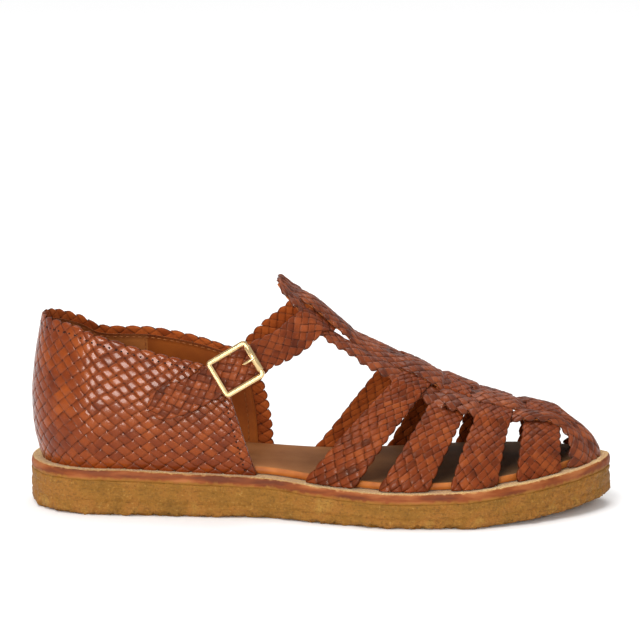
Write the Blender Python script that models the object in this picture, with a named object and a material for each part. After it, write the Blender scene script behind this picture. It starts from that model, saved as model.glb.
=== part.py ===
# Fisherman sandal, right shoe: plaited leather upper on a crepe rubber sole.
# Sizes are in millimetres in the shoe's own frame: x runs from the back of the heel to the toe tip,
# y is zero on the heel's centre line and negative on the outer side, z is zero on the floor.
from math import atan2, cos, hypot, pi, radians, sin

import bmesh
import bpy
import numpy as np
from mathutils import Vector

MM = 0.001
GAP = 0.3               # between pieces that meet
LENGTH = 268.0
TIP_Y = 6.2             # the toe tip lies towards the inner side
HEEL_ROUND = 34.0       # how far the heel's round end reaches
HEEL_POWER = 2.0
TOE_ROUND = 66.0
TOE_POWER = 1.87

# Outline of the sole: reach to the outer and inner side, height of its ledge and of its underside
SOLE_COLUMNS = ("x", "outer", "inner", "top", "ground")
SOLE = (
    (0, 34.2, 34.5, 21.2, 0.0),
    (40, 34.3, 34.0, 21.1, 0.0),
    (75, 34.8, 31.4, 20.0, 0.0),
    (110, 35.6, 28.2, 18.8, 0.0),
    (140, 44.0, 33.0, 16.6, 0.0),
    (172, 51.6, 42.0, 15.9, 0.0),
    (200, 50.2, 46.0, 16.7, 0.0),
    (228, 44.5, 44.2, 18.9, 1.3),
    (250, 40.0, 41.0, 21.0, 3.4),
    (268, 37.0, 38.0, 23.4, 5.8),
)

# Side of the crepe sole: inset from the outline, share of its height, and millimetres added to it
CREPE_COLUMNS = ("inset", "share", "add")
CREPE_SIDE = (
    (2.4, 0.0, 0.0),
    (0.9, 0.0, 1.3),
    (0.1, 0.34, 0.0),
    (0.55, 0.40, 0.0),
    (0.0, 0.46, 0.0),
    (0.1, 0.68, 0.0),
    (0.5, 0.74, 0.0),
    (0.2, 1.0, 0.0),
)
BAND = 4.7              # covered band between crepe and ledge
BAND_SIDE = ((1.0, 0.0, GAP), (0.0, 0.35, 0.0), (0.15, 0.8, 0.0), (0.9, 1.0, 0.0), (2.2, 1.0, -0.25))
INSOLE = 3.6
INSOLE_INSET = 8.1
INSOLE_SIDE = ((0.0, 0.0, GAP), (-0.15, 0.5, 0.0), (0.3, 0.88, 0.0), (1.3, 1.0, 0.0))

LEDGE = 4.7             # from the outline to the outside of the upper
WALL = 1.2              # plaited leather between its raised strips
RELIEF = 0.6            # what a strip stands proud
LIFT = 1.0              # from a strap that runs under to one that runs over

# Ridge of the last over the foot, with the roundness of its outer and inner slopes
LAST_COLUMNS = ("x", "ridge_y", "ridge_z", "outer_power", "inner_power")
LAST = (
    (100, 4.0, 118.0, 1.50, 1.9),
    (112, 4.0, 107.6, 1.50, 1.9),
    (120, 4.2, 99.4, 1.50, 1.9),
    (130, 4.6, 91.2, 1.50, 1.9),
    (140, 5.4, 82.8, 1.50, 1.9),
    (150, 6.2, 76.4, 1.50, 1.95),
    (165, 7.0, 68.6, 1.52, 2.0),
    (180, 7.6, 61.6, 1.54, 2.0),
    (200, 8.0, 52.2, 1.58, 2.05),
    (220, 8.0, 46.0, 1.64, 2.1),
    (236, 7.6, 42.4, 1.68, 2.1),
)
DOME_X = 236.0          # ahead of this the toe is a dome round one point
DOME_POWER = 1.62

# T-bar: its centre, half width in plan, crown, and the lifts of its centre and edge strands
BAR_COLUMNS = ("x", "y", "half", "crown", "centre_lift", "edge_lift")
BAR = (
    (114.6, 1.0, 6.5, 0.10, 0.4, 0.2),
    (117.5, 1.0, 9.8, 0.14, 1.0, 0.4),
    (120.0, 1.0, 11.8, 0.18, 2.0, 0.7),
    (122.0, 1.0, 12.4, 0.20, 3.0, 0.2),
    (124.5, 1.0, 12.6, 0.23, 4.5, 0.0),
    (136.0, 0.9, 12.2, 0.38, 4.7, 0.0),
    (144.0, 0.7, 11.8, 0.42, 4.4, 0.0),
    (149.5, 0.5, 12.0, 0.48, 2.2, 0.3),
    (155.0, 0.2, 12.4, 0.64, 0.6, 0.6),
    (162.0, 0.0, 12.8, 0.74, 0.6, 0.6),
    (168.0, 0.0, 13.2, 0.84, 0.6, 0.4),
    (174.5, 0.0, 14.2, 1.00, 1.0, 0.0),
    (187.5, 0.0, 16.0, 1.00, 1.0, 0.0),
    (191.5, 0.0, 16.2, 1.00, 0.0, 1.0),
    (204.0, 0.2, 16.2, 1.00, 0.0, 1.0),
    (209.0, 0.4, 16.0, 1.00, 1.0, 0.0),
    (222.5, 1.3, 13.8, 1.00, 1.0, 0.0),
    (228.5, 1.9, 12.2, 1.00, 0.0, 1.0),
    (241.0, 3.7, 9.4, 1.00, 0.0, 1.0),
    (247.0, 4.3, 8.8, 1.00, 0.3, 0.3),
    (251.5, 4.3, 10.6, 1.00, 0.0, 0.0),
    (256.5, 3.8, 15.0, 1.00, 0.0, 0.0),
    (262.0, 3.0, 19.0, 1.00, 0.0, 0.0),
)
FAN_X = 214.0           # ahead of this the T-bar's rows bend to the toe's outline
STRAND_SPLIT = 0.42     # centre strand's share of the half width
STRAND_LAP = 0.02       # by which neighbouring strands overlap, so that they are joined
BAR_CELLS = 20

# Side straps: where each stands on the sole, where it crosses the ridge, how it sweeps between,
# and whether it runs over the T-bar's edge strands or over its centre strand
STRAP_COLUMNS = ("base_from", "base_to", "top_from", "top_to", "sweep", "over_edges", "cells")
STRAPS = (
    (130.0, 152.0, 173.8, 186.0, 1.35, 1, 15),
    (163.5, 185.0, 188.2, 202.5, 1.75, 0, 13),
    (196.0, 215.8, 209.0, 222.5, 1.30, 1, 11),
    (225.4, 244.2, 229.0, 243.5, 1.35, 0, 9),
)
SCALLOP = 0.055         # depth of the scalloped edge, as a share of the width

# Heel counter: height above the ledge, inset from the outline at the back and at the sides
COUNTER_COLUMNS = ("height", "back", "side")
COUNTER = (
    (0.0, 4.7, 4.7),
    (7.0, 2.6, 3.9),
    (16.0, 0.9, 3.4),
    (28.0, 0.3, 4.0),
    (40.0, 1.1, 6.0),
    (52.0, 2.8, 8.6),
    (67.0, 5.6, 11.0),
)
# Its top line: x along the foot, height above the floor on the outer and on the inner side
TOPLINE_COLUMNS = ("x", "outer", "inner")
TOPLINE = (
    (0, 87.0, 87.0),
    (17, 85.4, 81.6),
    (27, 82.4, 77.2),
    (38, 79.6, 75.9),
    (51, 75.8, 75.9),
    (64, 72.6, 74.4),
    (78, 69.6, 71.6),
    (92, 66.0, 67.4),
    (107, 62.0, 64.0),
)
COUNTER_WALL = 1.6
COUNTER_FRONT = {"outer": 107.0, "inner": 110.0}    # where its front edges stand on the sole
COUNTER_LEAN = {"outer": 15.5, "inner": 9.0}    # how far the front edges lean back towards the top
COUNTER_CELLS = (6, 21)

# Ankle strap, from its tip to the T-bar: centre, slope of its run, half width, and how far its
# lower edge stands out from its upper edge
ANKLE_COLUMNS = ("x", "y", "z", "slope", "half", "flare")
ANKLE_OUTER = (
    (58.8, -31.9, 51.2, 16, 3.2, 0.12),
    (61.5, -32.0, 52.4, 17, 5.4, 0.12),
    (67.0, -32.1, 54.3, 18, 6.4, 0.13),
    (74.0, -32.3, 56.8, 21, 6.5, 0.14),
    (84.0, -32.9, 61.4, 27, 6.5, 0.15),
    (98.6, -34.3, 69.4, 31, 6.4, 0.17),
    (108.0, -31.6, 74.6, 31, 6.5, 0.20),
)
# Then its upper and lower edge on the way to and from the T-bar
EDGE_COLUMNS = ("upper_x", "upper_y", "upper_z", "lower_x", "lower_y", "lower_z")
ANKLE_RISE = (
    (115.6, -22.5, 84.2, 121.8, -27.0, 73.0),
    (121.6, -16.0, 88.6, 130.0, -19.6, 77.4),
)
ANKLE_FALL = (
    (120.8, 18.2, 91.0, 131.0, 20.8, 79.2),
    (114.9, 20.0, 86.2, 124.2, 24.2, 73.6),
    (105.2, 24.4, 77.6, 115.0, 27.0, 64.6),
    (96.6, 27.6, 68.4, 107.0, 28.4, 55.6),
    (90.4, 28.6, 61.4, 100.8, 28.8, 48.8),
)
# Where its upper and lower edge lie on the T-bar, as places in plan
ANKLE_ON_BAR_COLUMNS = ("upper_x", "upper_y", "lower_x", "lower_y")
ANKLE_ON_BAR = (
    (125.2, -11.8, 134.4, -12.8),
    (128.0, -6.0, 138.2, -7.0),
    (129.6, 1.0, 140.6, 0.5),
    (128.6, 7.5, 138.8, 8.5),
    (125.4, 13.6, 135.6, 15.0),
)
ANKLE_THICK = 1.0       # between strips
ANKLE_RELIEF = 0.3      # on each face
ANKLE_CELLS = (2, 19)

BUCKLE_AT = Vector((98.6, -34.3, 69.6))
BUCKLE_SLOPE = 32.0
BUCKLE_TILT = 9.0       # its face looks up a little
BUCKLE_TURN = 0.05      # and a little back
BUCKLE_LONG = 19.4      # between wire centres, along the strap
BUCKLE_WIDE = 16.8
BUCKLE_WIRE = 1.05
BUCKLE_CORNER = 1.6
BUCKLE_RISE = 2.75      # of the frame above the strap's middle
CENTRE_BAR = 0.7
CENTRE_BAR_DROP = -3.35
ROLLER_BAR = 0.7
ROLLER_BORE = 0.95
ROLLER_OUT = 1.5
ROLLER_LENGTH = 11.6
PRONG = 0.65
PRONG_HOLE = 1.15
CHAPE_THICK = 0.8
CHAPE_WIDE = 9.6
CHAPE_TAIL = 10.5

COLOURS = {
    "crepe": (0.52, 0.27, 0.06, 0.85, 0.0),
    "band_leather": (0.30, 0.09, 0.035, 0.55, 0.0),
    "insole_leather": (0.36, 0.17, 0.07, 0.60, 0.0),
    "plaited_leather": (0.30, 0.085, 0.035, 0.42, 0.0),
    "brass": (0.80, 0.58, 0.22, 0.18, 1.0),
}


def clear_scene():
    for thing in list(bpy.data.objects):
        bpy.data.objects.remove(thing)


def smooth_between(xs, ys, x):
    """Cubic through the rows with no overshoot: a row higher or lower than both neighbours is flat."""
    x = min(max(x, xs[0]), xs[-1])
    last = len(xs) - 2
    i = 0
    while i < last and x > xs[i + 1]:
        i += 1
    slopes = [(ys[k + 1] - ys[k]) / (xs[k + 1] - xs[k]) for k in range(len(xs) - 1)]

    def tangent(k):
        if k == 0:
            return slopes[0]
        if k == len(xs) - 1:
            return slopes[-1]
        before = slopes[k - 1]
        after = slopes[k]
        return 0.0 if before * after <= 0 else 2 * before * after / (before + after)

    width = xs[i + 1] - xs[i]
    t = (x - xs[i]) / width
    return (
        (2 * t**3 - 3 * t**2 + 1) * ys[i]
        + (t**3 - 2 * t**2 + t) * width * tangent(i)
        + (3 * t**2 - 2 * t**3) * ys[i + 1]
        + (t**3 - t**2) * width * tangent(i + 1)
    )


def look_up(table, columns, name, x):
    rows = [row[0] for row in table]
    values = [row[columns.index(name)] for row in table]
    return smooth_between(rows, values, x)


def sole(name, x):
    return look_up(SOLE, SOLE_COLUMNS, name, x)


def bar(name, x):
    return look_up(BAR, BAR_COLUMNS, name, x)


def centre_line(x):
    return smooth_between((0, 80, LENGTH), (0, 0.5, TIP_Y), x)


def roundness(x):
    """1 along the shoe, falling to 0 at the heel back and at the toe tip."""
    if x < HEEL_ROUND:
        return max(0.0, 1 - ((HEEL_ROUND - x) / HEEL_ROUND) ** HEEL_POWER) ** (1 / HEEL_POWER)
    toe = LENGTH - TOE_ROUND
    if x > toe:
        return max(0.0, 1 - ((x - toe) / TOE_ROUND) ** TOE_POWER) ** (1 / TOE_POWER)
    return 1.0


def outline_y(x, side):
    centre = centre_line(x)
    reach = sole("outer", x) + centre if side < 0 else sole("inner", x) - centre
    return centre + side * reach * roundness(x)


def stations(heel_steps, middle_steps, toe_steps):
    heel = [HEEL_ROUND * (1 - cos(pi / 2 * k / heel_steps)) for k in range(heel_steps)]
    middle = np.linspace(HEEL_ROUND, LENGTH - TOE_ROUND, middle_steps + 1)[:-1]
    toe = [LENGTH - TOE_ROUND + TOE_ROUND * sin(pi / 2 * k / toe_steps) for k in range(toe_steps + 1)]
    return [*heel, *middle, *toe]


def outline_loop(xs):
    """Closed loop: heel back, outer side to the toe tip, inner side back to the heel."""
    outer = [(x, outline_y(x, -1)) for x in xs]
    inner = [(x, outline_y(x, 1)) for x in reversed(xs[1:-1])]
    return np.array(outer + inner)


def inset_loop(loop, inset):
    tangent = np.roll(loop, -1, 0) - np.roll(loop, 1, 0)
    tangent /= np.linalg.norm(tangent, axis=1)[:, None]
    inward = np.stack([-tangent[:, 1], tangent[:, 0]], 1)
    return loop + inward * inset


FINE_LOOP = outline_loop(stations(60, 120, 90))
LAST_LOOP = inset_loop(FINE_LOOP, LEDGE + WALL + RELIEF)
TIP_INDEX = int(np.argmax(LAST_LOOP[:, 0]))
SHIFT = Vector((LENGTH / 2, (FINE_LOOP[:, 1].min() + FINE_LOOP[:, 1].max()) / 2, 0))


def last_base(x, side):
    part = LAST_LOOP[: TIP_INDEX + 1] if side < 0 else LAST_LOOP[TIP_INDEX:][::-1]
    return float(np.interp(x, part[:, 0], part[:, 1]))


def dome_rays():
    ridge = look_up(LAST, LAST_COLUMNS, "ridge_y", DOME_X)
    ahead = LAST_LOOP[LAST_LOOP[:, 0] >= DOME_X - 1.0]
    angle = np.arctan2(ahead[:, 1] - ridge, ahead[:, 0] - DOME_X)
    order = np.argsort(angle)
    reach = np.hypot(ahead[:, 0] - DOME_X, ahead[:, 1] - ridge)
    return angle[order], reach[order]


DOME_ANGLE, DOME_REACH = dome_rays()


def last_height(x, y):
    """Height of the last over a point of the plan."""
    behind = min(x, DOME_X)
    ridge_y = look_up(LAST, LAST_COLUMNS, "ridge_y", behind)
    ridge_z = look_up(LAST, LAST_COLUMNS, "ridge_z", behind)
    side = -1 if y < ridge_y else 1
    power = look_up(LAST, LAST_COLUMNS, "outer_power" if side < 0 else "inner_power", behind)
    if x <= DOME_X:
        share = (y - ridge_y) / (last_base(x, side) - ridge_y)
        foot = sole("top", x) + GAP
    else:
        angle = atan2(y - ridge_y, x - DOME_X)
        share = hypot(x - DOME_X, y - ridge_y) / float(np.interp(angle, DOME_ANGLE, DOME_REACH))
        turn = abs(angle) / (pi / 2)
        power = DOME_POWER + (power - DOME_POWER) * turn**2
        foot = sole("top", DOME_X + (x - DOME_X) / max(share, 0.05)) + GAP
    share = min(max(share, 0.0), 1.0)
    return foot + (ridge_z - foot) * (1 - share**power) ** (1 / power)


WALL_STEPS = 36
WALL_LINES = {}


def wall_line(x, side):
    """Section of the last from the T-bar's centre down to the sole, with its running length."""
    key = (round(x, 3), side)
    if key not in WALL_LINES:
        top = bar("y", x)
        foot = last_base(x, side)
        ys = [top + (foot - top) * sin(pi / 2 * k / WALL_STEPS) for k in range(WALL_STEPS + 1)]
        line = np.array([(y, last_height(x, y)) for y in ys])
        run = np.concatenate([[0.0], np.cumsum(np.hypot(*np.diff(line, axis=0).T))])
        WALL_LINES[key] = (line, run / run[-1])
    return WALL_LINES[key]


def wall_point(x, way):
    """way is -1 at the outer foot, 0 at the T-bar's centre and 1 at the inner foot."""
    line, run = wall_line(x, -1 if way < 0 else 1)
    y = float(np.interp(abs(way), run, line[:, 0]))
    z = float(np.interp(abs(way), run, line[:, 1]))
    return Vector((x, y, z))


def strap_point(row, across, way):
    base_from, base_to, top_from, top_to, sweep = row[:5]
    lean = abs(way) ** sweep
    start = top_from + (base_from - top_from) * lean
    end = top_to + (base_to - top_to) * lean
    return wall_point(start + (end - start) * across, way)


def bar_height(x, y):
    """Height of the T-bar's underside: the last's, flattened where the tab stands free."""
    crown = bar("crown", x)
    height = last_height(x, y)
    if crown < 1:
        ridge = last_height(x, bar("y", x))
        height = ridge + (height - ridge) * crown
    return height


def bar_path():
    """Positions along the T-bar's centre, evenly spaced over the curved ridge."""
    end = float(np.interp(bar("y", LENGTH), LAST_LOOP[:TIP_INDEX + 1, 1], LAST_LOOP[:TIP_INDEX + 1, 0]))
    steps = np.sin(np.linspace(0, pi / 2, 240))
    xs = BAR[0][0] + (end - BAR[0][0]) * steps
    zs = np.array([last_height(x, bar("y", x)) for x in xs])
    run = np.concatenate([[0.0], np.cumsum(np.hypot(np.diff(xs), np.diff(zs)))])
    return xs, run / run[-1]


BAR_XS, BAR_RUN = bar_path()


def bar_point(along, across):
    """across runs from -1 at the outer edge to 1 at the inner edge."""
    centre_x = float(np.interp(along, BAR_RUN, BAR_XS))
    y = bar("y", centre_x) + across * bar("half", centre_x)
    x = centre_x
    if centre_x > FAN_X:
        ahead = LAST_LOOP[: TIP_INDEX + 1] if y < LAST_LOOP[TIP_INDEX, 1] else LAST_LOOP[TIP_INDEX:][::-1]
        front = ahead[ahead[:, 0] > DOME_X]
        order = np.argsort(front[:, 1])
        reach = float(np.interp(y, front[order, 1], front[order, 0]))
        share = (centre_x - FAN_X) / (BAR_XS[-1] - FAN_X)
        x = FAN_X + (reach - FAN_X) * share
    return Vector((x, y, bar_height(x, y)))


def sheet_normal(surface, u, v):
    du = 0.02
    dv = 0.004
    across = surface(min(u + du, 1), v) - surface(max(u - du, 0), v)
    along = surface(u, min(v + dv, 1)) - surface(u, max(v - dv, 0))
    return across.cross(along).normalized()


def plaited(name, surface, cells, lift, walls, scallops, outward, both=False, upright=None):
    """One plaited wall over surface(u, v).

    The strips lie at 45 degrees to the run, so the cells are diamonds and each carries a small roof
    whose ridge follows its strip. lift(u, v) is the height of the inner face over the surface, walls
    is thickness and relief, scallops the depth of the two edges, outward a direction or a function
    that tells which side is out. upright(v) pulls the normal level where the wall stands on the sole.
    """
    across, along = cells
    columns = 2 * across
    rows = 2 * along
    wall, relief = walls
    points = []
    faces = []

    def put(u, v, height):
        normal = sheet_normal(surface, u, v)
        point = surface(u, v)
        if normal.dot(outward(point)) < 0:
            normal = -normal
        if upright:
            normal.z *= upright(v)
            normal.normalize()
        points.append(point + normal * (lift(u, v) + height))
        return len(points) - 1

    def edge_u(i, j):
        if j % 2 == 0:
            return i / columns
        if i == 0:
            return scallops[0]
        if i == columns:
            return 1 - scallops[1]
        return i / columns

    def lattice(height):
        found = {}
        for j in range(rows + 1):
            for i in range(columns + 1):
                if (i + j) % 2 == 0 or i in (0, columns):
                    found[i, j] = put(edge_u(i, j), j / rows, height)
        return found

    def roofs(grid, height):
        for j in range(1, rows):
            for i in range(1, columns):
                if (i + j) % 2 == 0:
                    continue
                left, right = grid[i - 1, j], grid[i + 1, j]
                down, up = grid[i, j - 1], grid[i, j + 1]
                turn = 0.3 if i % 2 else -0.3
                low = put((i - 0.3) / columns, (j - turn) / rows, height)
                high = put((i + 0.3) / columns, (j + turn) / rows, height)
                if i % 2:
                    faces.extend([(left, down, low), (right, up, high)])
                    faces.extend([(left, low, high, up), (down, right, high, low)])
                else:
                    faces.extend([(up, left, low), (down, right, high)])
                    faces.extend([(left, down, high, low), (up, low, high, right)])
        for j in range(1, rows, 2):
            faces.extend([(grid[0, j - 1], grid[1, j], grid[0, j])])
            faces.extend([(grid[0, j], grid[1, j], grid[0, j + 1])])
            last = columns
            faces.extend([(grid[last, j - 1], grid[last, j], grid[last - 1, j])])
            faces.extend([(grid[last, j], grid[last, j + 1], grid[last - 1, j])])
        for j, step in ((0, 1), (rows, -1)):
            for i in range(1, columns, 2):
                faces.append((grid[i - 1, j], grid[i + 1, j], grid[i, j + step]))

    outer = lattice(wall)
    roofs(outer, wall + relief)
    if both:
        inner = lattice(0.0)
        roofs(inner, -relief)
    else:
        inner = {}
        for j in range(rows + 1):
            for k in range(across + 1):
                inner[2 * k, j] = put(edge_u(2 * k, j), j / rows, 0.0)
        for j in range(rows):
            for k in range(across):
                a, b = 2 * k, 2 * k + 2
                faces.append((inner[a, j], inner[b, j], inner[b, j + 1], inner[a, j + 1]))
    for j in range(rows):
        for i in (0, columns):
            faces.append((outer[i, j], outer[i, j + 1], inner[i, j + 1], inner[i, j]))
    for j in (0, rows):
        for i in range(0, columns, 2):
            faces.append((outer[i, j], outer[i + 2, j], inner[i + 2, j], inner[i, j]))
    return make_object(name, points, faces)


def make_object(name, points, faces, smooth=False):
    """Closed mesh from points in the shoe's frame, with its faces turned out."""
    mesh = bpy.data.meshes.new(name)
    shape = bmesh.new()
    corners = [shape.verts.new((Vector(p) - SHIFT) * MM) for p in points]
    for face in faces:
        shape.faces.new([corners[i] for i in face])
    bmesh.ops.recalc_face_normals(shape, faces=shape.faces)
    if shape.calc_volume(signed=True) < 0:
        bmesh.ops.reverse_faces(shape, faces=shape.faces)
    bmesh.ops.triangulate(shape, faces=shape.faces, quad_method="SHORT_EDGE")
    shape.to_mesh(mesh)
    shape.free()
    if smooth:
        mesh.shade_smooth()
        mesh.set_sharp_from_angle(angle=radians(40))
    thing = bpy.data.objects.new(name, mesh)
    bpy.context.scene.collection.objects.link(thing)
    return thing


def paint(thing, name):
    red, green, blue, rough, metallic = COLOURS[name]
    material = bpy.data.materials.new(thing.name + "_" + name)
    material.use_nodes = True
    shader = material.node_tree.nodes["Principled BSDF"]
    shader.inputs["Base Color"].default_value = (red, green, blue, 1.0)
    shader.inputs["Roughness"].default_value = rough
    shader.inputs["Metallic"].default_value = metallic
    thing.data.materials.clear()
    thing.data.materials.append(material)
    return thing


def stack(name, side, low, high, inset):
    """Layer of the sole: rings up its side, closed by strips across its two faces.

    side holds rows of inset, share of the height from low(x) to high(x), and millimetres added.
    """
    xs = stations(8, 12, 11)
    loop = outline_loop(xs)
    count = len(loop)
    points = []
    for ring_inset, share, add in side:
        for x, y in inset_loop(loop, inset + ring_inset):
            place = min(max(x, 0.0), LENGTH)
            z = low(place) + (high(place) - low(place)) * share + add
            points.append((x, y, z))
    faces = []
    for ring in range(len(side) - 1):
        for k in range(count):
            a = ring * count + k
            b = ring * count + (k + 1) % count
            faces.append((a, b, b + count, a + count))
    for base in (0, (len(side) - 1) * count):
        half = len(xs) - 1
        for k in range(half):
            near, far = k, k + 1
            ring = [base + near, base + far, base + (count - far) % count, base + (count - near) % count]
            faces.append(tuple(dict.fromkeys(ring)))
    return make_object(name, points, faces)


def crepe_top(x):
    return sole("top", x) - BAND


def make_outsole():
    rows = [(row[0], row[1], row[2]) for row in CREPE_SIDE]
    return paint(stack("outsole", rows, lambda x: sole("ground", x), crepe_top, 0.0), "crepe")


def make_midsole():
    return paint(stack("midsole", BAND_SIDE, crepe_top, lambda x: sole("top", x), 0.0), "band_leather")


def make_insole():
    low = lambda x: sole("top", x)
    high = lambda x: sole("top", x) + INSOLE
    return paint(stack("insole", INSOLE_SIDE, low, high, INSOLE_INSET), "insole_leather")


def from_inside(point):
    """Rough direction out of the foot, for turning a wall's outer face."""
    return Vector((0.35 * (point.x - 150), point.y - 4, point.z - 25))


def make_strap(index, row):
    over_edges = row[5]

    def surface(u, v):
        return strap_point(row, u, 2 * v - 1)

    def lift(u, v):
        point = surface(u, v)
        reach = bar("half", point.x)
        away = abs(point.y - bar("y", point.x)) / reach
        knots = (0.0, 0.30, 0.52, 1.0, 1.35, 9.0)
        lifts = (0, 0, LIFT, LIFT, 0, 0) if over_edges else (LIFT, LIFT, 0, 0, 0, 0)
        return smooth_between(knots, lifts, away)

    def upright(v):
        foot = min(v, 1 - v) * 2
        return min(1.0, foot / 0.12)

    walls = (WALL, RELIEF)
    name = "side_strap_%d" % (index + 1)
    return plaited(name, surface, (3, row[6]), lift, walls, (SCALLOP, SCALLOP), from_inside, upright=upright)


def make_strand(name, low, high, column, cells, scallops):
    def surface(u, v):
        return bar_point(v, low + (high - low) * u)

    def lift(u, v):
        return bar(column, float(np.interp(v, BAR_RUN, BAR_XS)))

    def upright(v):
        return min(1.0, (1 - v) / 0.05)

    return plaited(name, surface, cells, lift, (WALL, RELIEF), scallops, from_inside, upright=upright)


def join(target, others):
    """Union of overlapping leather pieces into one solid."""
    for other in others:
        union = target.modifiers.new("joined_" + other.name, "BOOLEAN")
        union.operation = "UNION"
        union.solver = "EXACT"
        union.object = other
        other.hide_render = True
        other.display_type = "WIRE"


def make_vamp_cage():
    split, lap = STRAND_SPLIT, STRAND_LAP
    centre = make_strand("vamp_cage", -split, split, "centre_lift", (2, BAR_CELLS), (0, 0))
    strands = [
        make_strand("outer_strand", -1, -split + lap, "edge_lift", (1, BAR_CELLS), (2 * SCALLOP, 0)),
        make_strand("inner_strand", split - lap, 1, "edge_lift", (1, BAR_CELLS), (0, 2 * SCALLOP)),
    ]
    straps = [make_strap(index, row) for index, row in enumerate(STRAPS)]
    join(centre, strands + straps)
    return paint(centre, "plaited_leather")


def counter_plan():
    """Run of the counter along the sole's outline, from its outer front edge round the heel."""
    outer = FINE_LOOP[: TIP_INDEX + 1]
    inner = FINE_LOOP[TIP_INDEX:]
    outer = outer[outer[:, 0] <= COUNTER_FRONT["outer"]][::-1]
    inner = inner[inner[:, 0] <= COUNTER_FRONT["inner"]][::-1]
    line = np.concatenate([outer, inner])
    run = np.concatenate([[0.0], np.cumsum(np.hypot(*np.diff(line, axis=0).T))])
    tangent = np.gradient(line, axis=0)
    tangent /= np.linalg.norm(tangent, axis=1)[:, None]
    inward = np.stack([tangent[:, 1], -tangent[:, 0]], 1)
    return line, run / run[-1], inward


def make_heel_counter():
    line, run, inward = counter_plan()

    def surface(u, v):
        spot = np.array([np.interp(v, run, line[:, k]) for k in (0, 1)])
        turn = np.array([np.interp(v, run, inward[:, k]) for k in (0, 1)])
        turn /= np.linalg.norm(turn)
        side = "outer" if v < 0.5 else "inner"
        foot = sole("top", float(spot[0])) + GAP
        at_front = max(0.0, abs(2 * v - 1) - 0.5) / 0.5
        lean = COUNTER_LEAN[side] * at_front**2
        top_x = float(spot[0]) - lean
        top = look_up(TOPLINE, TOPLINE_COLUMNS, side, top_x)
        height = (top - foot) * u
        backness = abs(turn[0]) ** 1.5
        back = look_up(COUNTER, COUNTER_COLUMNS, "back", height)
        sides = look_up(COUNTER, COUNTER_COLUMNS, "side", height)
        inset = back * backness + sides * (1 - backness) + COUNTER_WALL + RELIEF
        x, y = spot + turn * inset
        return Vector((x - lean * u, y, foot + height))

    def outward(point):
        return Vector((min(point.x - 45, 0), point.y, 0))

    thing = plaited("heel_counter", surface, COUNTER_CELLS, lambda u, v: 0.0, (COUNTER_WALL, RELIEF),
                    (0.0, 0.02), outward)
    return paint(thing, "plaited_leather")


def ankle_rows():
    """Upper and lower edge of the ankle strap, row by row from its tip to its inner end."""
    edges = []

    def free(row):
        x, y, z, slope, half, flare = row
        turn = radians(slope)
        down = Vector((sin(turn), -flare, -cos(turn))) * half
        centre = Vector((x, y, z))
        edges.append((centre - down, centre + down))

    for row in ANKLE_OUTER:
        free(row)
    for row in ANKLE_RISE:
        edges.append((Vector(row[:3]), Vector(row[3:])))
    stand = WALL + RELIEF + GAP + ANKLE_RELIEF + ANKLE_THICK / 2 + 0.2
    for upper_x, upper_y, lower_x, lower_y in ANKLE_ON_BAR:
        pair = []
        for x, y in ((upper_x, upper_y), (lower_x, lower_y)):
            spot = Vector((x, y, bar_height(x, y)))
            ahead = Vector((x + 1, y, bar_height(x + 1, y))) - spot
            beside = Vector((x, y + 1, bar_height(x, y + 1))) - spot
            pair.append(spot + ahead.cross(beside).normalized() * stand)
        edges.append(tuple(pair))
    for row in ANKLE_FALL:
        edges.append((Vector(row[:3]), Vector(row[3:])))
    return edges


def make_ankle_strap():
    edges = ankle_rows()
    middles = [(a + b) / 2 for a, b in edges]
    run = np.concatenate([[0.0], np.cumsum([(b - a).length for a, b in zip(middles, middles[1:])])])
    run /= run[-1]
    columns = np.array([[*a, *b] for a, b in edges])

    def surface(u, v):
        row = [smooth_row(run, columns[:, k], v) for k in range(6)]
        return Vector(row[:3]).lerp(Vector(row[3:]), u)

    def outward(point):
        return Vector((0.35 * (point.x - 100), point.y - 4, max(point.z - 60, 0)))

    thing = plaited("ankle_strap", surface, ANKLE_CELLS, lambda u, v: -ANKLE_THICK / 2,
                    (ANKLE_THICK, ANKLE_RELIEF), (0.05, 0.05), outward, both=True)
    return paint(thing, "plaited_leather")


def smooth_row(run, values, v):
    """Cubic through all rows, smooth in slope."""
    i = int(min(max(np.searchsorted(run, v) - 1, 0), len(run) - 2))
    width = run[i + 1] - run[i]
    t = (v - run[i]) / width

    def slope(k):
        a, b = max(k - 1, 0), min(k + 1, len(run) - 1)
        return (values[b] - values[a]) / (run[b] - run[a])

    return float(
        (2 * t**3 - 3 * t**2 + 1) * values[i]
        + (t**3 - 2 * t**2 + t) * width * slope(i)
        + (3 * t**2 - 2 * t**3) * values[i + 1]
        + (t**3 - t**2) * width * slope(i + 1)
    )


def buckle_axes():
    slope = radians(BUCKLE_SLOPE)
    tilt = radians(BUCKLE_TILT)
    along = Vector((cos(slope), -BUCKLE_TURN, sin(slope))).normalized()
    out = Vector((0, -cos(tilt), sin(tilt)))
    out = (out - along * out.dot(along)).normalized()
    return along, along.cross(out).normalized() * -1, out


def at_buckle(along, up, out):
    one, two, three = buckle_axes()
    return BUCKLE_AT + one * along + two * up + three * out


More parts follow.
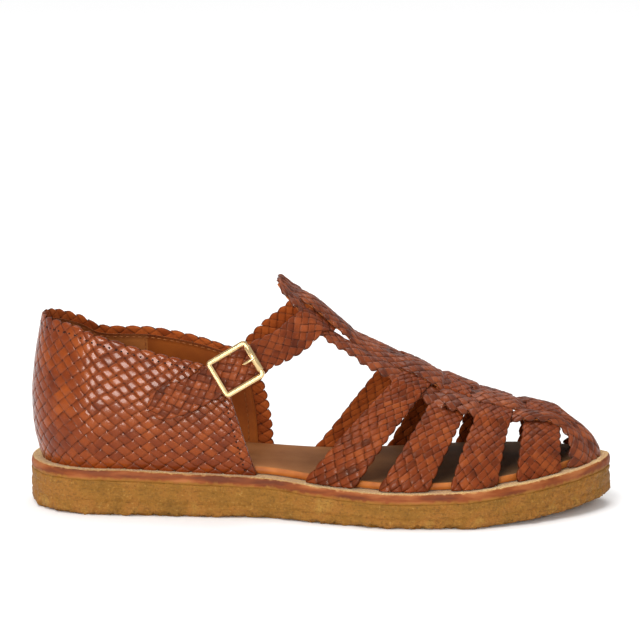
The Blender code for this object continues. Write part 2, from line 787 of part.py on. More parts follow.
def tube(name, path, radii, sides=8, closed=False):
    """Wire along a path in the buckle's own directions."""
    points = [at_buckle(*p) for p in path]
    count = len(points)
    rings = []
    faces = []
    guide = at_buckle(0.3, 0.2, 1.0) - at_buckle(0, 0, 0)
    for k in range(count):
        before = points[k - 1] if k or closed else points[k]
        after = points[(k + 1) % count] if k < count - 1 or closed else points[k]
        tangent = (after - before).normalized()
        side = tangent.cross(guide).normalized()
        guide = side.cross(tangent).normalized()
        for s in range(sides):
            turn = 2 * pi * s / sides
            rings.append(points[k] + (side * cos(turn) + guide * sin(turn)) * radii[k])
    for k in range(count if closed else count - 1):
        for s in range(sides):
            a = k * sides + s
            b = k * sides + (s + 1) % sides
            c = ((k + 1) % count) * sides
            faces.append((a, b, c + (s + 1) % sides, c + s))
    if not closed:
        faces.append(tuple(range(sides)))
        faces.append(tuple(range((count - 1) * sides, count * sides)))
    return make_object(name, rings, faces, smooth=True)


def frame_path():
    """Rounded rectangle of wire, with the bar for the roller turned thinner."""
    long, wide, corner = BUCKLE_LONG / 2, BUCKLE_WIDE / 2, BUCKLE_CORNER
    path = []
    radii = []
    corners = ((1, 1, 0), (-1, 1, 90), (-1, -1, 180), (1, -1, 270))
    for sx, sy, start in corners:
        for step in range(5):
            turn = radians(start + 22.5 * step)
            path.append((sx * (long - corner) + corner * cos(turn), sy * (wide - corner) + corner * sin(turn),
                         BUCKLE_RISE))
            radii.append(BUCKLE_WIRE)
    shoulder = ROLLER_LENGTH / 2 + GAP
    for up, radius in ((-shoulder, BUCKLE_WIRE), (-shoulder + 0.15, ROLLER_BAR),
                       (shoulder - 0.15, ROLLER_BAR), (shoulder, BUCKLE_WIRE)):
        if abs(up) < wide - corner + 0.6:
            path.append((long, up, BUCKLE_RISE))
            radii.append(radius)
    return path, radii


def make_buckle_frame():
    path, radii = frame_path()
    frame = tube("buckle_frame", path, radii, sides=8, closed=True)
    reach = BUCKLE_WIDE / 2
    leg = reach - 0.25
    bar_line = [(0, reach, BUCKLE_RISE), (0, leg, CENTRE_BAR_DROP + 0.5), (0, leg - 0.7, CENTRE_BAR_DROP),
                (0, -leg + 0.7, CENTRE_BAR_DROP), (0, -leg, CENTRE_BAR_DROP + 0.5), (0, -reach, BUCKLE_RISE)]
    centre = tube("centre_bar", bar_line, [CENTRE_BAR] * len(bar_line), sides=8)
    join(frame, [centre])
    return paint(frame, "brass")


def make_roller():
    sides = 16
    rings = ((ROLLER_OUT, 1), (ROLLER_OUT, -1), (ROLLER_BORE, -1), (ROLLER_BORE, 1))
    points = []
    faces = []
    for radius, end in rings:
        for s in range(sides):
            turn = 2 * pi * s / sides
            points.append(at_buckle(BUCKLE_LONG / 2 + radius * cos(turn), end * ROLLER_LENGTH / 2,
                                    BUCKLE_RISE + radius * sin(turn)))
    for ring in range(4):
        for s in range(sides):
            a, b = ring * sides + s, ring * sides + (s + 1) % sides
            c = ((ring + 1) % 4) * sides
            faces.append((a, b, c + (s + 1) % sides, c + s))
    return paint(make_object("buckle_roller", points, faces, smooth=True), "brass")


def make_prong():
    """Hook round the centre bar, up through the strap's hole and down onto the roller."""
    reach = CENTRE_BAR + 0.25 + PRONG
    path = [(-reach * cos(radians(a)), 0, CENTRE_BAR_DROP + reach * sin(radians(a)))
            for a in (-150, -110, -70, -30, 10, 50, 90)]
    path += [(1.6, 0, CENTRE_BAR_DROP + reach + 0.1), (2.7, 0, -0.6), (3.1, 0, 1.8), (4.5, 0, 3.9),
             (6.4, 0, BUCKLE_RISE + ROLLER_OUT + PRONG + 0.35),
             (BUCKLE_LONG / 2, 0, BUCKLE_RISE + ROLLER_OUT + PRONG + 0.3),
             (BUCKLE_LONG / 2 + 1.6, 0, BUCKLE_RISE + ROLLER_OUT + PRONG + 0.05)]
    radii = [PRONG] * (len(path) - 1) + [PRONG * 0.7]
    return paint(tube("buckle_prong", path, radii, sides=8), "brass")


def box_cutter(name, low, high):
    corners = [(a, b, c) for a in (low[0], high[0]) for b in (low[1], high[1]) for c in (low[2], high[2])]
    faces = ((0, 1, 3, 2), (4, 6, 7, 5), (0, 4, 5, 1), (2, 3, 7, 6), (0, 2, 6, 4), (1, 5, 7, 3))
    return make_object(name, [at_buckle(*c) for c in corners], faces)


def cut(target, cutter):
    away = target.modifiers.new("cut_" + cutter.name, "BOOLEAN")
    away.operation = "DIFFERENCE"
    away.solver = "EXACT"
    away.object = cutter
    cutter.hide_render = True
    cutter.display_type = "WIRE"


def make_chape():
    """Leather strip folded round the centre bar, its two plies running back onto the counter."""
    reach = CENTRE_BAR + 0.25 + CHAPE_THICK / 2
    ply = CHAPE_THICK / 2 + 0.15
    line = [(-CHAPE_TAIL, ply), (-5.0, ply)]
    line += [(reach * cos(radians(a)), reach * sin(radians(a))) for a in (130, 90, 45, 0, -45, -90, -130)]
    line += [(-5.0, -ply), (-CHAPE_TAIL, -ply)]
    line = [Vector((a, c + CENTRE_BAR_DROP)) for a, c in line]
    left, right = [], []
    for k, spot in enumerate(line):
        tangent = (line[min(k + 1, len(line) - 1)] - line[max(k - 1, 0)]).normalized()
        normal = Vector((-tangent.y, tangent.x))
        left.append(spot + normal * CHAPE_THICK / 2)
        right.append(spot - normal * CHAPE_THICK / 2)
    ring = left + right[::-1]
    count = len(ring)
    points = [at_buckle(p.x, side * CHAPE_WIDE / 2, p.y) for side in (1, -1) for p in ring]
    faces = [(k, (k + 1) % count, (k + 1) % count + count, k + count) for k in range(count)]
    half = len(line)
    for base in (0, count):
        for k in range(half - 1):
            faces.append((base + k, base + k + 1, base + count - 2 - k, base + count - 1 - k))
    chape = make_object("buckle_chape", points, faces)
    slot = PRONG + 0.35
    cut(chape, box_cutter("prong_slot", (-3.4, -slot, CENTRE_BAR_DROP - 3.4), (4.0, slot, CENTRE_BAR_DROP + 3.4)))
    return paint(chape, "plaited_leather")


def main():
    clear_scene()
    make_outsole()
    make_midsole()
    make_insole()
    make_vamp_cage()
    make_heel_counter()
    strap = make_ankle_strap()
    cut(strap, box_cutter("prong_hole", (0.9, -PRONG_HOLE, -4), (5.4, PRONG_HOLE, 4)))
    make_buckle_frame()
    make_roller()
    make_prong()
    make_chape()


main()
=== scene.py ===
from math import atan2, cos, hypot, pi, radians, sin

import bpy
import numpy as np
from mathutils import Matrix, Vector


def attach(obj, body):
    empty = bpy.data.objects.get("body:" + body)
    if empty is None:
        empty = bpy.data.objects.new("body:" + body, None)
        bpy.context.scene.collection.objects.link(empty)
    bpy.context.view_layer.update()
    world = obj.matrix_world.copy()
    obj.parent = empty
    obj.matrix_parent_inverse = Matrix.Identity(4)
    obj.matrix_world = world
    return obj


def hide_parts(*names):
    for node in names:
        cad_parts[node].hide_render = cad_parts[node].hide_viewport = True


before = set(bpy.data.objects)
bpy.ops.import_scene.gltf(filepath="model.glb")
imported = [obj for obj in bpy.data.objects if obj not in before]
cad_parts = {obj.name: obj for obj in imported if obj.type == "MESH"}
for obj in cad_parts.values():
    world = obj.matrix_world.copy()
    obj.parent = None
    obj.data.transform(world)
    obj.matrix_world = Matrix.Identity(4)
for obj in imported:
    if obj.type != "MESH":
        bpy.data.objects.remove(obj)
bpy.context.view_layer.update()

# Shapes are in millimetres in the shoe's own frame: x from the heel's back to the toe tip, y negative on
# the outer side, z from the floor. placed() brings them to the frame's metres.

shoe = {              # the sole's outline from above and the heights of its edges, along x
    "length": 268.0, "tipY": 6.2, "heelRound": 34.0, "toeRound": 66.0, "toePower": 1.87,
    "x": (0, 40, 75, 110, 140, 172, 200, 228, 250, 268),
    "outer": (34.2, 34.3, 34.8, 35.6, 44.0, 51.6, 50.2, 44.5, 40.0, 37.0),   # reach from the centre line
    "inner": (34.5, 34.0, 31.4, 28.2, 33.0, 42.0, 46.0, 44.2, 41.0, 38.0),
    "top": (21.2, 21.1, 20.0, 18.8, 16.6, 15.9, 16.7, 18.9, 21.0, 23.4),     # the ledge round the upper
    "ground": (0, 0, 0, 0, 0, 0, 0, 1.3, 3.4, 5.8),
}


def hermite(t, width, start, end, startSlope, endSlope):
    return ((2 * t**3 - 3 * t**2 + 1) * start + (t**3 - 2 * t**2 + t) * width * startSlope
            + (3 * t**2 - 2 * t**3) * end + (t**3 - t**2) * width * endSlope)


def curve(xs, ys, x):                 # cubic through the rows with no overshoot
    x = min(max(x, xs[0]), xs[-1])
    i = 0
    while i < len(xs) - 2 and x > xs[i + 1]:
        i += 1

    def slope(k):
        before = (ys[k] - ys[k - 1]) / (xs[k] - xs[k - 1]) if k else None
        after = (ys[k + 1] - ys[k]) / (xs[k + 1] - xs[k]) if k < len(xs) - 1 else None
        if before is None or after is None:
            return after if before is None else before
        return 0.0 if before * after <= 0 else 2 * before * after / (before + after)

    width = xs[i + 1] - xs[i]
    return hermite((x - xs[i]) / width, width, ys[i], ys[i + 1], slope(i), slope(i + 1))


def runOf(points):                    # length along a line of points, from its start
    return np.concatenate([[0.0], np.cumsum(np.linalg.norm(np.diff(points, axis=0), axis=1))])


def sole(name, x):
    return curve(shoe["x"], shoe[name], x)


def centreLine(x):
    return curve((0, 80, shoe["length"]), (0, 0.5, shoe["tipY"]), x)


def outlineY(x, side):
    start, power = shoe["length"] - shoe["toeRound"], shoe["toePower"]
    full = 1.0
    if x < shoe["heelRound"]:
        full = max(0.0, 1 - ((shoe["heelRound"] - x) / shoe["heelRound"]) ** 2) ** 0.5
    if x > start:
        full = max(0.0, 1 - ((x - start) / shoe["toeRound"]) ** power) ** (1 / power)
    centre = centreLine(x)
    reach = sole("outer", x) + centre if side < 0 else sole("inner", x) - centre
    return centre + side * reach * full


def outlineLoop(heelSteps, middleSteps, toeSteps):
    start = shoe["length"] - shoe["toeRound"]
    xs = [shoe["heelRound"] * (1 - cos(pi / 2 * k / heelSteps)) for k in range(heelSteps)]
    xs += list(np.linspace(shoe["heelRound"], start, middleSteps + 1)[:-1])
    xs += [start + shoe["toeRound"] * sin(pi / 2 * k / toeSteps) for k in range(toeSteps + 1)]
    return np.array([(x, outlineY(x, -1)) for x in xs] + [(x, outlineY(x, 1)) for x in reversed(xs[1:-1])])


def insetLoop(loop, inset):
    tangent = np.roll(loop, -1, 0) - np.roll(loop, 1, 0)
    tangent /= np.linalg.norm(tangent, axis=1)[:, None]
    return loop + np.stack([-tangent[:, 1], tangent[:, 0]], 1) * np.reshape(inset, (-1, 1))


fineLoop = outlineLoop(60, 120, 90)
shift = np.array([shoe["length"] / 2, (fineLoop[:, 1].min() + fineLoop[:, 1].max()) / 2, 0.0])


def placed(points):
    return (np.asarray(points, float) - shift) * 0.001


print("camera")
view = {              # degrees, metres, then millimetres
    "azimuth": 3.6, "elevation": 11.3, "distance": 1.7, "target": (134.1, 0.0, 85.5), "lens": 208.07,
}
lens = bpy.data.cameras.new("studioCamera")
lens.sensor_width = 36.0
lens.lens = view["lens"]
camera = bpy.data.objects.new("studioCamera", lens)
bpy.context.scene.collection.objects.link(camera)
turn, rise = radians(view["azimuth"]), radians(view["elevation"])
away = Vector((sin(turn) * cos(rise), -cos(turn) * cos(rise), sin(rise)))
camera.location = Vector(placed(view["target"])) + away * view["distance"]
camera.rotation_euler = away.to_track_quat("Z", "Y").to_euler()
bpy.context.scene.camera = camera


print("materials")


def tone(hexValue):                   # sRGB hex to linear
    parts = [int(hexValue[k:k + 2], 16) / 255 for k in (1, 3, 5)]
    return [c / 12.92 if c <= 0.04045 else ((c + 0.055) / 1.055) ** 2.4 for c in parts] + [1.0]


def addNode(tree, kind, settings, links=None):      # gives the node's first output
    node = tree.nodes.new("ShaderNode" + kind)
    for name, value in settings.items():
        if name == "stops":                         # places on a ramp with sRGB colours or plain levels
            points = node.color_ramp.elements
            while len(points) < len(value):
                points.new(0.5)
            for point, (place, colour) in zip(points, value):
                point.position = place
                point.color = tone(colour) if isinstance(colour, str) else (colour, colour, colour, 1)
        elif name == "size":                        # of a pattern, in millimetres
            node.inputs["Scale"].default_value = 1000 / value
        elif isinstance(name, int) or name in node.inputs:
            node.inputs[name].default_value = tone(value) if isinstance(value, str) else value
        else:
            setattr(node, name, value)
    for socket, source in (links or {}).items():
        tree.links.new(source, node.inputs[socket])
    return node.outputs[0]


def newMaterial(name, settings):
    material = bpy.data.materials.new(name)
    material.use_nodes = True
    shader = material.node_tree.nodes["Principled BSDF"]
    for socket, value in settings.items():
        shader.inputs[socket].default_value = tone(value) if isinstance(value, str) else value
    place = material.node_tree.nodes.new("ShaderNodeTexCoord").outputs["Object"]
    return material, material.node_tree, place


def finished(material, sources):      # leads the patterns into the surface's sockets
    tree = material.node_tree
    for socket, source in sources.items():
        tree.links.new(source, tree.nodes["Principled BSDF"].inputs[socket])
    return material


def overlay(tree, body, source, stops, colour):     # a colour over the body, where a pattern calls for it
    share = addNode(tree, "ValToRGB", {"stops": stops}, {0: source})
    return addNode(tree, "MixRGB", {"Color2": colour}, {"Fac": share, "Color1": body})


# Vegetable-tanned calf laces, drum-dyed cognac and burnished by hand: the eye sees a warm brown that goes
# orange where a lace is thin or cut and plum where it was burnished, under a thin wax shine.
laceLook = {          # sizes of blotches, grain, worn edge and pores in millimetres
    "patch": 9.0, "grain": 0.55, "edge": 2.5, "pores": 0.45,
    "level": 0.15, "tint": "#FFD2AC", "coatRoughness": 0.14, "stops": (0.22, 0.42, 0.60, 0.80),
}


def laceMaterial(name, colours, creaseShadeAndCut, spread, roughness, wax):
    material, tree, place = newMaterial(name, {
        "IOR": 1.5, "Specular IOR Level": laceLook["level"], "Specular Tint": laceLook["tint"],
        "Coat Weight": wax, "Coat Roughness": laceLook["coatRoughness"]})
    ownShade = addNode(tree, "Attribute", {"attribute_name": "laceTone"})
    creaseShadeAndCutEdge = addNode(tree, "Attribute", {"attribute_name": "laceRim"})
    patch = addNode(tree, "TexNoise", {"size": laceLook["patch"], "Detail": 4.0}, {"Vector": place})
    grain = addNode(tree, "TexNoise", {"size": laceLook["grain"], "Detail": 5.0}, {"Vector": place})
    blotch = addNode(tree, "Math", {"operation": "MULTIPLY_ADD", 1: 0.9, 2: 0.05 - spread / 2}, {0: patch})
    shade = addNode(tree, "Math", {"operation": "MULTIPLY_ADD", 1: spread}, {0: ownShade, 2: blotch})
    body = addNode(tree, "ValToRGB", {"stops": list(zip(laceLook["stops"], colours))}, {0: shade})
    rubbed = addNode(tree, "Math", {"operation": "MULTIPLY", 1: 0.25}, {0: grain})
    body = addNode(tree, "MixRGB", {"Color2": colours[0]}, {"Fac": rubbed, "Color1": body})
    # Towards each lace's rim the colour goes to the rim colours: painted shade in the creases where the lace
    # dives under its neighbours, and its worn cut edge.
    wear = addNode(tree, "TexNoise", {"size": laceLook["edge"], "Detail": 3.0}, {"Vector": place})
    rim = addNode(tree, "ValToRGB", {"stops": list(zip((0.45, 0.68), creaseShadeAndCut))}, {0: wear})
    body = addNode(tree, "MixRGB", {}, {"Fac": creaseShadeAndCutEdge, "Color1": body, "Color2": rim})
    sheen = addNode(tree, "ValToRGB", {"stops": [(0.3, roughness - 0.05), (0.7, roughness + 0.10)]},
                    {0: patch})
    pores = addNode(tree, "TexVoronoi", {"size": laceLook["pores"]}, {"Vector": place})
    height = addNode(tree, "Math", {"operation": "MULTIPLY_ADD", 1: 0.35}, {0: pores, 2: grain})
    skin = addNode(tree, "Bump", {"Strength": 0.4, "Distance": 0.00014}, {"Height": height})
    return finished(material, {"Base Color": body, "Roughness": sheen, "Normal": skin})


# Colours from burnished to thin, colours of the cut edge and of the painted shade in the creases, difference
# between laces, roughness, wax.
glossyLace = laceMaterial("polishedCognacLace", ("#58200A", "#722F0E", "#7E3710", "#8E4214"),
                          ("#341309", "#6E3316"), 0.36, 0.24, 0.25)
cognacLace = laceMaterial("burnishedCognacLace", ("#4A1E0E", "#692B11", "#783415", "#8A421C"),
                          ("#2A0F07", "#844420"), 0.36, 0.34, 0.08)
plumLace = laceMaterial("burnishedPlumLace", ("#4A2013", "#6A3018", "#7C3B1D", "#8E4A29"),
                        ("#2A110A", "#7A3D20"), 0.42, 0.30, 0.24)
dullLace = laceMaterial("dullPlumLace", ("#481D10", "#682C14", "#7A3718", "#8C4422"),
                        ("#2A110A", "#7A3D20"), 0.42, 0.38, 0.10)
# Inner faces of the laces: lighter than the laces outside, partly as their unwaxed flesh side and partly as
# painted light for faces that the lamps reach less.
fleshSideLitLace = laceMaterial("unwaxedLaceBackPaintedLight", ("#7A3414", "#92441B", "#A24F20", "#AE5A28"),
                         ("#3A170C", "#8A4420"), 0.36, 0.60, 0.0)

# Aniline dyed leather with a plain surface: even, slightly satin, with faint blotches of the given size.
leatherGrain = 0.5    # millimetres


def plainLeather(name, dark, light, roughness, blotch):
    material, tree, place = newMaterial(name, {
        "Roughness": roughness, "IOR": 1.48, "Specular IOR Level": 0.25, "Sheen Weight": 0.05})
    cloud = addNode(tree, "TexNoise", {"size": blotch, "Detail": 6.0}, {"Vector": place})
    body = addNode(tree, "ValToRGB", {"stops": [(0.36, dark), (0.64, light)]}, {0: cloud})
    grain = addNode(tree, "TexNoise", {"size": leatherGrain, "Detail": 6.0}, {"Vector": place})
    skin = addNode(tree, "Bump", {"Strength": 0.25, "Distance": 0.00014}, {"Height": grain})
    return finished(material, {"Base Color": body, "Normal": skin})


liningLeather = plainLeather("anilineLining", "#8A4415", "#A6591C", 0.55, 22.0)
heelSuede = plainLeather("napHeelLining", "#9A5A26", "#B87238", 0.75, 12.0)
# The laces' back and the cores under them: dark as painted shade, for the gaps of the weave.
gapShadeLeather = plainLeather("shadedLaceBack", "#3A170B", "#552410", 0.8, 5.0)
# Awl holes drawn as small dark marks on the leather: painted shade of a hole.
holeShade = plainLeather("awlHole", "#1E0C06", "#2A120A", 0.9, 5.0)
threadWax = plainLeather("waxedThread", "#8A4A20", "#A5632F", 0.6, 1.0)
rimLeather = plainLeather("footbedRim", "#96501B", "#AF6628", 0.5, 8.0)

# Waxed band leather: brown with dry rubbed streaks, and towards the crepe the amber of the rubber cement.
bandLook = {"streak": 6.25, "stretch": (0.3, 0.3, 1.6), "fuzz": 2.38}     # millimetres, and shares of them


def bandMaterial():
    material, tree, place = newMaterial("waxedBandLeather", {
        "Roughness": 0.6, "IOR": 1.48, "Specular IOR Level": 0.2})
    drawn = addNode(tree, "Mapping", {"Scale": bandLook["stretch"]}, {0: place})
    cloud = addNode(tree, "TexNoise", {"size": bandLook["streak"], "Detail": 7.0}, {"Vector": drawn})
    body = addNode(tree, "ValToRGB",
                   {"stops": [(0.34, "#5E2B12"), (0.5, "#7E3E18"), (0.68, "#9E5F33")]}, {0: cloud})
    fuzz = addNode(tree, "TexNoise", {"size": bandLook["fuzz"], "Detail": 6.0}, {"Vector": place})
    level = addNode(tree, "Attribute", {"attribute_name": "ringShare"})
    torn = addNode(tree, "Math", {"operation": "MULTIPLY_ADD", 1: 0.7}, {0: fuzz, 2: level})
    torn = addNode(tree, "Math", {"operation": "MULTIPLY", 1: 0.6}, {0: torn})
    body = overlay(tree, body, torn, [(0.24, 1.0), (0.42, 0.0)], "#8F6024")     # rubber cement
    body = overlay(tree, body, torn, [(0.77, 0.0), (0.84, 0.6)], "#B98752")     # dry dust under the ledge
    skin = addNode(tree, "Bump", {"Strength": 0.5, "Distance": 0.0004}, {"Height": fuzz})
    return finished(material, {"Base Color": body, "Normal": skin})


bandLeather = bandMaterial()

# Footbed cover, suede side up: tan at the heel, greyed and darker towards the toes, where the darkening is
# painted shade of the straps over it.
footbedLook = {"cloud": 14.3, "nap": 0.625, "heelEnds": -0.02, "toesBegin": 0.05}


def footbedMaterial():
    material, tree, place = newMaterial("footbedCover", {
        "Roughness": 0.7, "IOR": 1.45, "Specular IOR Level": 0.1})
    along = addNode(tree, "SeparateXYZ", {}, {0: place})
    span = {"From Min": footbedLook["heelEnds"], "From Max": footbedLook["toesBegin"]}      # in metres
    shadeTowardsToes = addNode(tree, "MapRange", span, {"Value": along})
    cloud = addNode(tree, "TexNoise", {"size": footbedLook["cloud"], "Detail": 6.0}, {"Vector": place})
    rear = addNode(tree, "ValToRGB", {"stops": [(0.3, "#87552F"), (0.7, "#9A663D")]}, {0: cloud})
    # Painted shade: the front colours are darker for the shade of the straps over the toes.
    front = addNode(tree, "ValToRGB", {"stops": [(0.3, "#46301D"), (0.7, "#5D4128")]}, {0: cloud})
    body = addNode(tree, "MixRGB", {}, {"Fac": shadeTowardsToes, "Color1": rear, "Color2": front})
    nap = addNode(tree, "TexNoise", {"size": footbedLook["nap"], "Detail": 6.0}, {"Vector": place})
    skin = addNode(tree, "Bump", {"Strength": 0.3, "Distance": 0.00015}, {"Height": nap})
    return finished(material, {"Base Color": body, "Normal": skin})


footbed = footbedMaterial()

# Natural crepe rubber, pressed from sheets: amber to olive, a little translucent, with broken level seams,
# pits and crumbs all over its cut side.
crepeLook = {"cloud": 13.33, "sheet": 1.11, "stretch": (0.24, 0.24, 1.6), "crumb": 1.18, "pit": 1.92}


def crepeMaterial():
    material, tree, place = newMaterial("naturalCrepe", {
        "Roughness": 0.6, "IOR": 1.52, "Specular IOR Level": 0.22, "Subsurface Weight": 0.10,
        "Subsurface Scale": 0.003, "Subsurface Radius": (1.0, 0.6, 0.25)})
    cloud = addNode(tree, "TexNoise", {"size": crepeLook["cloud"], "Detail": 5.0}, {"Vector": place})
    body = addNode(tree, "ValToRGB",
                   {"stops": [(0.32, "#7B5317"), (0.48, "#8D5E1D"), (0.58, "#925E20"), (0.74, "#9E7530")]},
                   {0: cloud})
    drawn = addNode(tree, "Mapping", {"Scale": crepeLook["stretch"]}, {0: place})
    seam = addNode(tree, "TexNoise",
                   {"size": crepeLook["sheet"], "Detail": 6.0, "Roughness": 0.65}, {"Vector": drawn})
    body = overlay(tree, body, seam, [(0.35, 0.75), (0.44, 0.0)], "#6C4615")     # sheet seams
    crumb = addNode(tree, "TexNoise",
                    {"size": crepeLook["crumb"], "Detail": 8.0, "Roughness": 0.7}, {"Vector": place})
    body = overlay(tree, body, crumb, [(0.36, 0.7), (0.47, 0.0)], "#664212")     # dark crumbs
    body = overlay(tree, body, crumb, [(0.57, 0.0), (0.68, 0.6)], "#B48C48")     # pale crumbs
    pit = addNode(tree, "TexVoronoi", {"size": crepeLook["pit"]}, {"Vector": place})
    height = addNode(tree, "Math", {"operation": "MULTIPLY_ADD", 1: 0.5}, {0: pit, 2: crumb})
    height = addNode(tree, "Math", {"operation": "MULTIPLY_ADD", 1: 0.6}, {0: seam, 2: height})
    skin = addNode(tree, "Bump", {"Strength": 0.9, "Distance": 0.0008}, {"Height": height})
    return finished(material, {"Base Color": body, "Normal": skin})


crepe = crepeMaterial()

# Raw split edge of the midsole, sanded: pale straw with short fuzzy fibres.
rawEdgeLook = {"fibre": 0.8, "worn": 7.14}     # millimetres


def rawEdgeMaterial():
    material, tree, place = newMaterial("sandedSplit", {
        "Roughness": 0.9, "IOR": 1.4, "Specular IOR Level": 0.2, "Sheen Weight": 0.3, "Sheen Roughness": 0.5})
    fibre = addNode(tree, "TexNoise", {"size": rawEdgeLook["fibre"], "Detail": 8.0}, {"Vector": place})
    cloud = addNode(tree, "TexNoise", {"size": rawEdgeLook["worn"], "Detail": 4.0}, {"Vector": place})
    body = addNode(tree, "ValToRGB",
                   {"stops": [(0.32, "#8C622E"), (0.5, "#BC934F"), (0.68, "#D8B97C")]}, {0: fibre})
    body = overlay(tree, body, cloud, [(0.4, 0.0), (0.7, 0.65)], "#A06838")     # worn places
    skin = addNode(tree, "Bump", {"Strength": 0.8, "Distance": 0.0006}, {"Height": fibre})
    return finished(material, {"Base Color": body, "Normal": skin})


rawEdge = rawEdgeMaterial()

# Brass plated pale gold and polished: near mirror, with very fine rubbing marks.
goldLook = {"marks": 0.357, "stretch": (1.0, 1.0, 5.0)}     # millimetres, and shares of them


def goldMaterial():
    material, tree, place = newMaterial("polishedPaleGold", {"Metallic": 1.0, "Base Color": "#D8BA88"})
    drawn = addNode(tree, "Mapping", {"Scale": goldLook["stretch"]}, {0: place})
    marks = addNode(tree, "TexNoise", {"size": goldLook["marks"], "Detail": 4.0}, {"Vector": drawn})
    wear = addNode(tree, "ValToRGB", {"stops": [(0.3, 0.14), (0.7, 0.24)]}, {0: marks})
    return finished(material, {"Roughness": wear})


gold = goldMaterial()


def makePiece(name, points, faces, materials, node, smooth=True, attributes=None, choose=None):
    mesh = bpy.data.meshes.new(name)
    mesh.from_pydata(placed(points).tolist(), [], faces)
    mesh.validate()
    for material in materials:
        mesh.materials.append(material)
    if choose is not None:
        mesh.polygons.foreach_set("material_index", np.asarray(choose, np.int32))
    mesh.polygons.foreach_set("use_smooth", np.full(len(mesh.polygons), smooth))
    for key, values in (attributes or {}).items():
        mesh.attributes.new(key, "FLOAT", "POINT").data.foreach_set("value", np.asarray(values, np.float32))
    piece = bpy.data.objects.new(name, mesh)
    bpy.context.scene.collection.objects.link(piece)
    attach(piece, "root")
    if node:
        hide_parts(node)
    return piece


# A surface sampled once on a fine grid, so that laces, linings and stitches can be laid on it.
def sampled(surface, across, along, outward):
    us, vs = np.linspace(0, 1, across), np.linspace(0, 1, along)
    grid = np.array([[surface(u, v) for v in vs] for u in us], float)
    normal = np.cross(np.gradient(grid, axis=0), np.gradient(grid, axis=1))
    normal /= np.linalg.norm(normal, axis=2)[:, :, None] + 1e-9
    facing = np.array([[outward(p) for p in row] for row in grid])
    normal[np.sum(normal * facing, axis=2) < 0] *= -1
    return {"point": grid, "normal": normal}


def cellOf(table, u, v):              # the grid cell under a place, and how far into it the place lies
    rows, columns = table.shape[:2]
    a, b = np.clip(u, 0, 1) * (rows - 1), np.clip(v, 0, 1) * (columns - 1)
    i, j = np.minimum(a.astype(int), rows - 2), np.minimum(b.astype(int), columns - 2)
    return i, j, a - i, b - j


def tableAt(table, u, v):
    i, j, s, t = cellOf(table, u, v)
    if table.ndim == 3:
        s, t = s[..., None], t[..., None]
    return ((table[i, j] * (1 - s) + table[i + 1, j] * s) * (1 - t)
            + (table[i, j + 1] * (1 - s) + table[i + 1, j + 1] * s) * t)


def onSheet(sheet, u, v, height):     # past an edge the sheet runs straight on
    grid = sheet["point"]
    i, j, s, t = cellOf(grid, u, v)
    side = (grid[i + 1, j] - grid[i, j]) * (grid.shape[0] - 1)
    ahead = (grid[i, j + 1] - grid[i, j]) * (grid.shape[1] - 1)
    direction = tableAt(sheet["normal"], u, v)
    direction /= np.linalg.norm(direction, axis=-1)[..., None] + 1e-9
    pastU, pastV = (u - np.clip(u, 0, 1))[..., None], (v - np.clip(v, 0, 1))[..., None]
    return tableAt(grid, u, v) + side * pastU + ahead * pastV + direction * height[..., None]


def otherFace(sheet):
    return {"point": sheet["point"], "normal": -sheet["normal"]}


def gridFaces(rows, columns, start=0):
    firsts = [start + a * columns + b for a in range(rows - 1) for b in range(columns - 1)]
    return [(k, k + 1, k + columns + 1, k + columns) for k in firsts]


def tubeFaces(rings, sides, closed=False):
    faces, pairs = [], [(s, (s + 1) % sides) for s in range(sides)]
    for k in range(rings if closed else rings - 1):
        here, ahead = k * sides, (k + 1) % rings * sides
        faces += [(here + s, here + t, ahead + t, ahead + s) for s, t in pairs]
    if not closed:
        faces += [tuple(range(sides))[::-1], tuple(range((rings - 1) * sides, rings * sides))]
    return faces


# Laces plaited at 45 degrees to the run of a sheet. Each lace shows as one crowned cell that dives under
# its neighbours at both ends, and the cells at the two edges turn over the edge as scallops.
weave = {             # a cell's rows along and across it in half cells, its height, and how uneven it is
    "along": (-1.32, -1.1, -0.86, -0.45, 0.0, 0.45, 0.86, 1.1, 1.32),
    "side": (-1.0, -0.97, -0.84, -0.5, 0.0, 0.5, 0.84, 0.97, 1.0),
    "crown": (-0.35, 0.48, 0.90, 0.98, 1.0, 0.98, 0.90, 0.48, -0.35),
    "dive": 0.42, "divePower": 3.5, "skew": 0.06, "step": 1.6, "tilt": 0.16, "narrow": (0.875, 0.94),
}


def turnOver(place, rise, count, edge, bulge, drop):     # past an edge a lace bends down round it
    over = (-place if edge == 0 else place - 1) * count
    angle = np.clip(over, 0, 1.2) * pi / 2
    place = np.where(over > 0, edge + (2 * edge - 1) * bulge * np.sin(angle) / count, place)
    return place, np.where(over > 0, rise - drop * (1 - np.cos(angle)), rise)


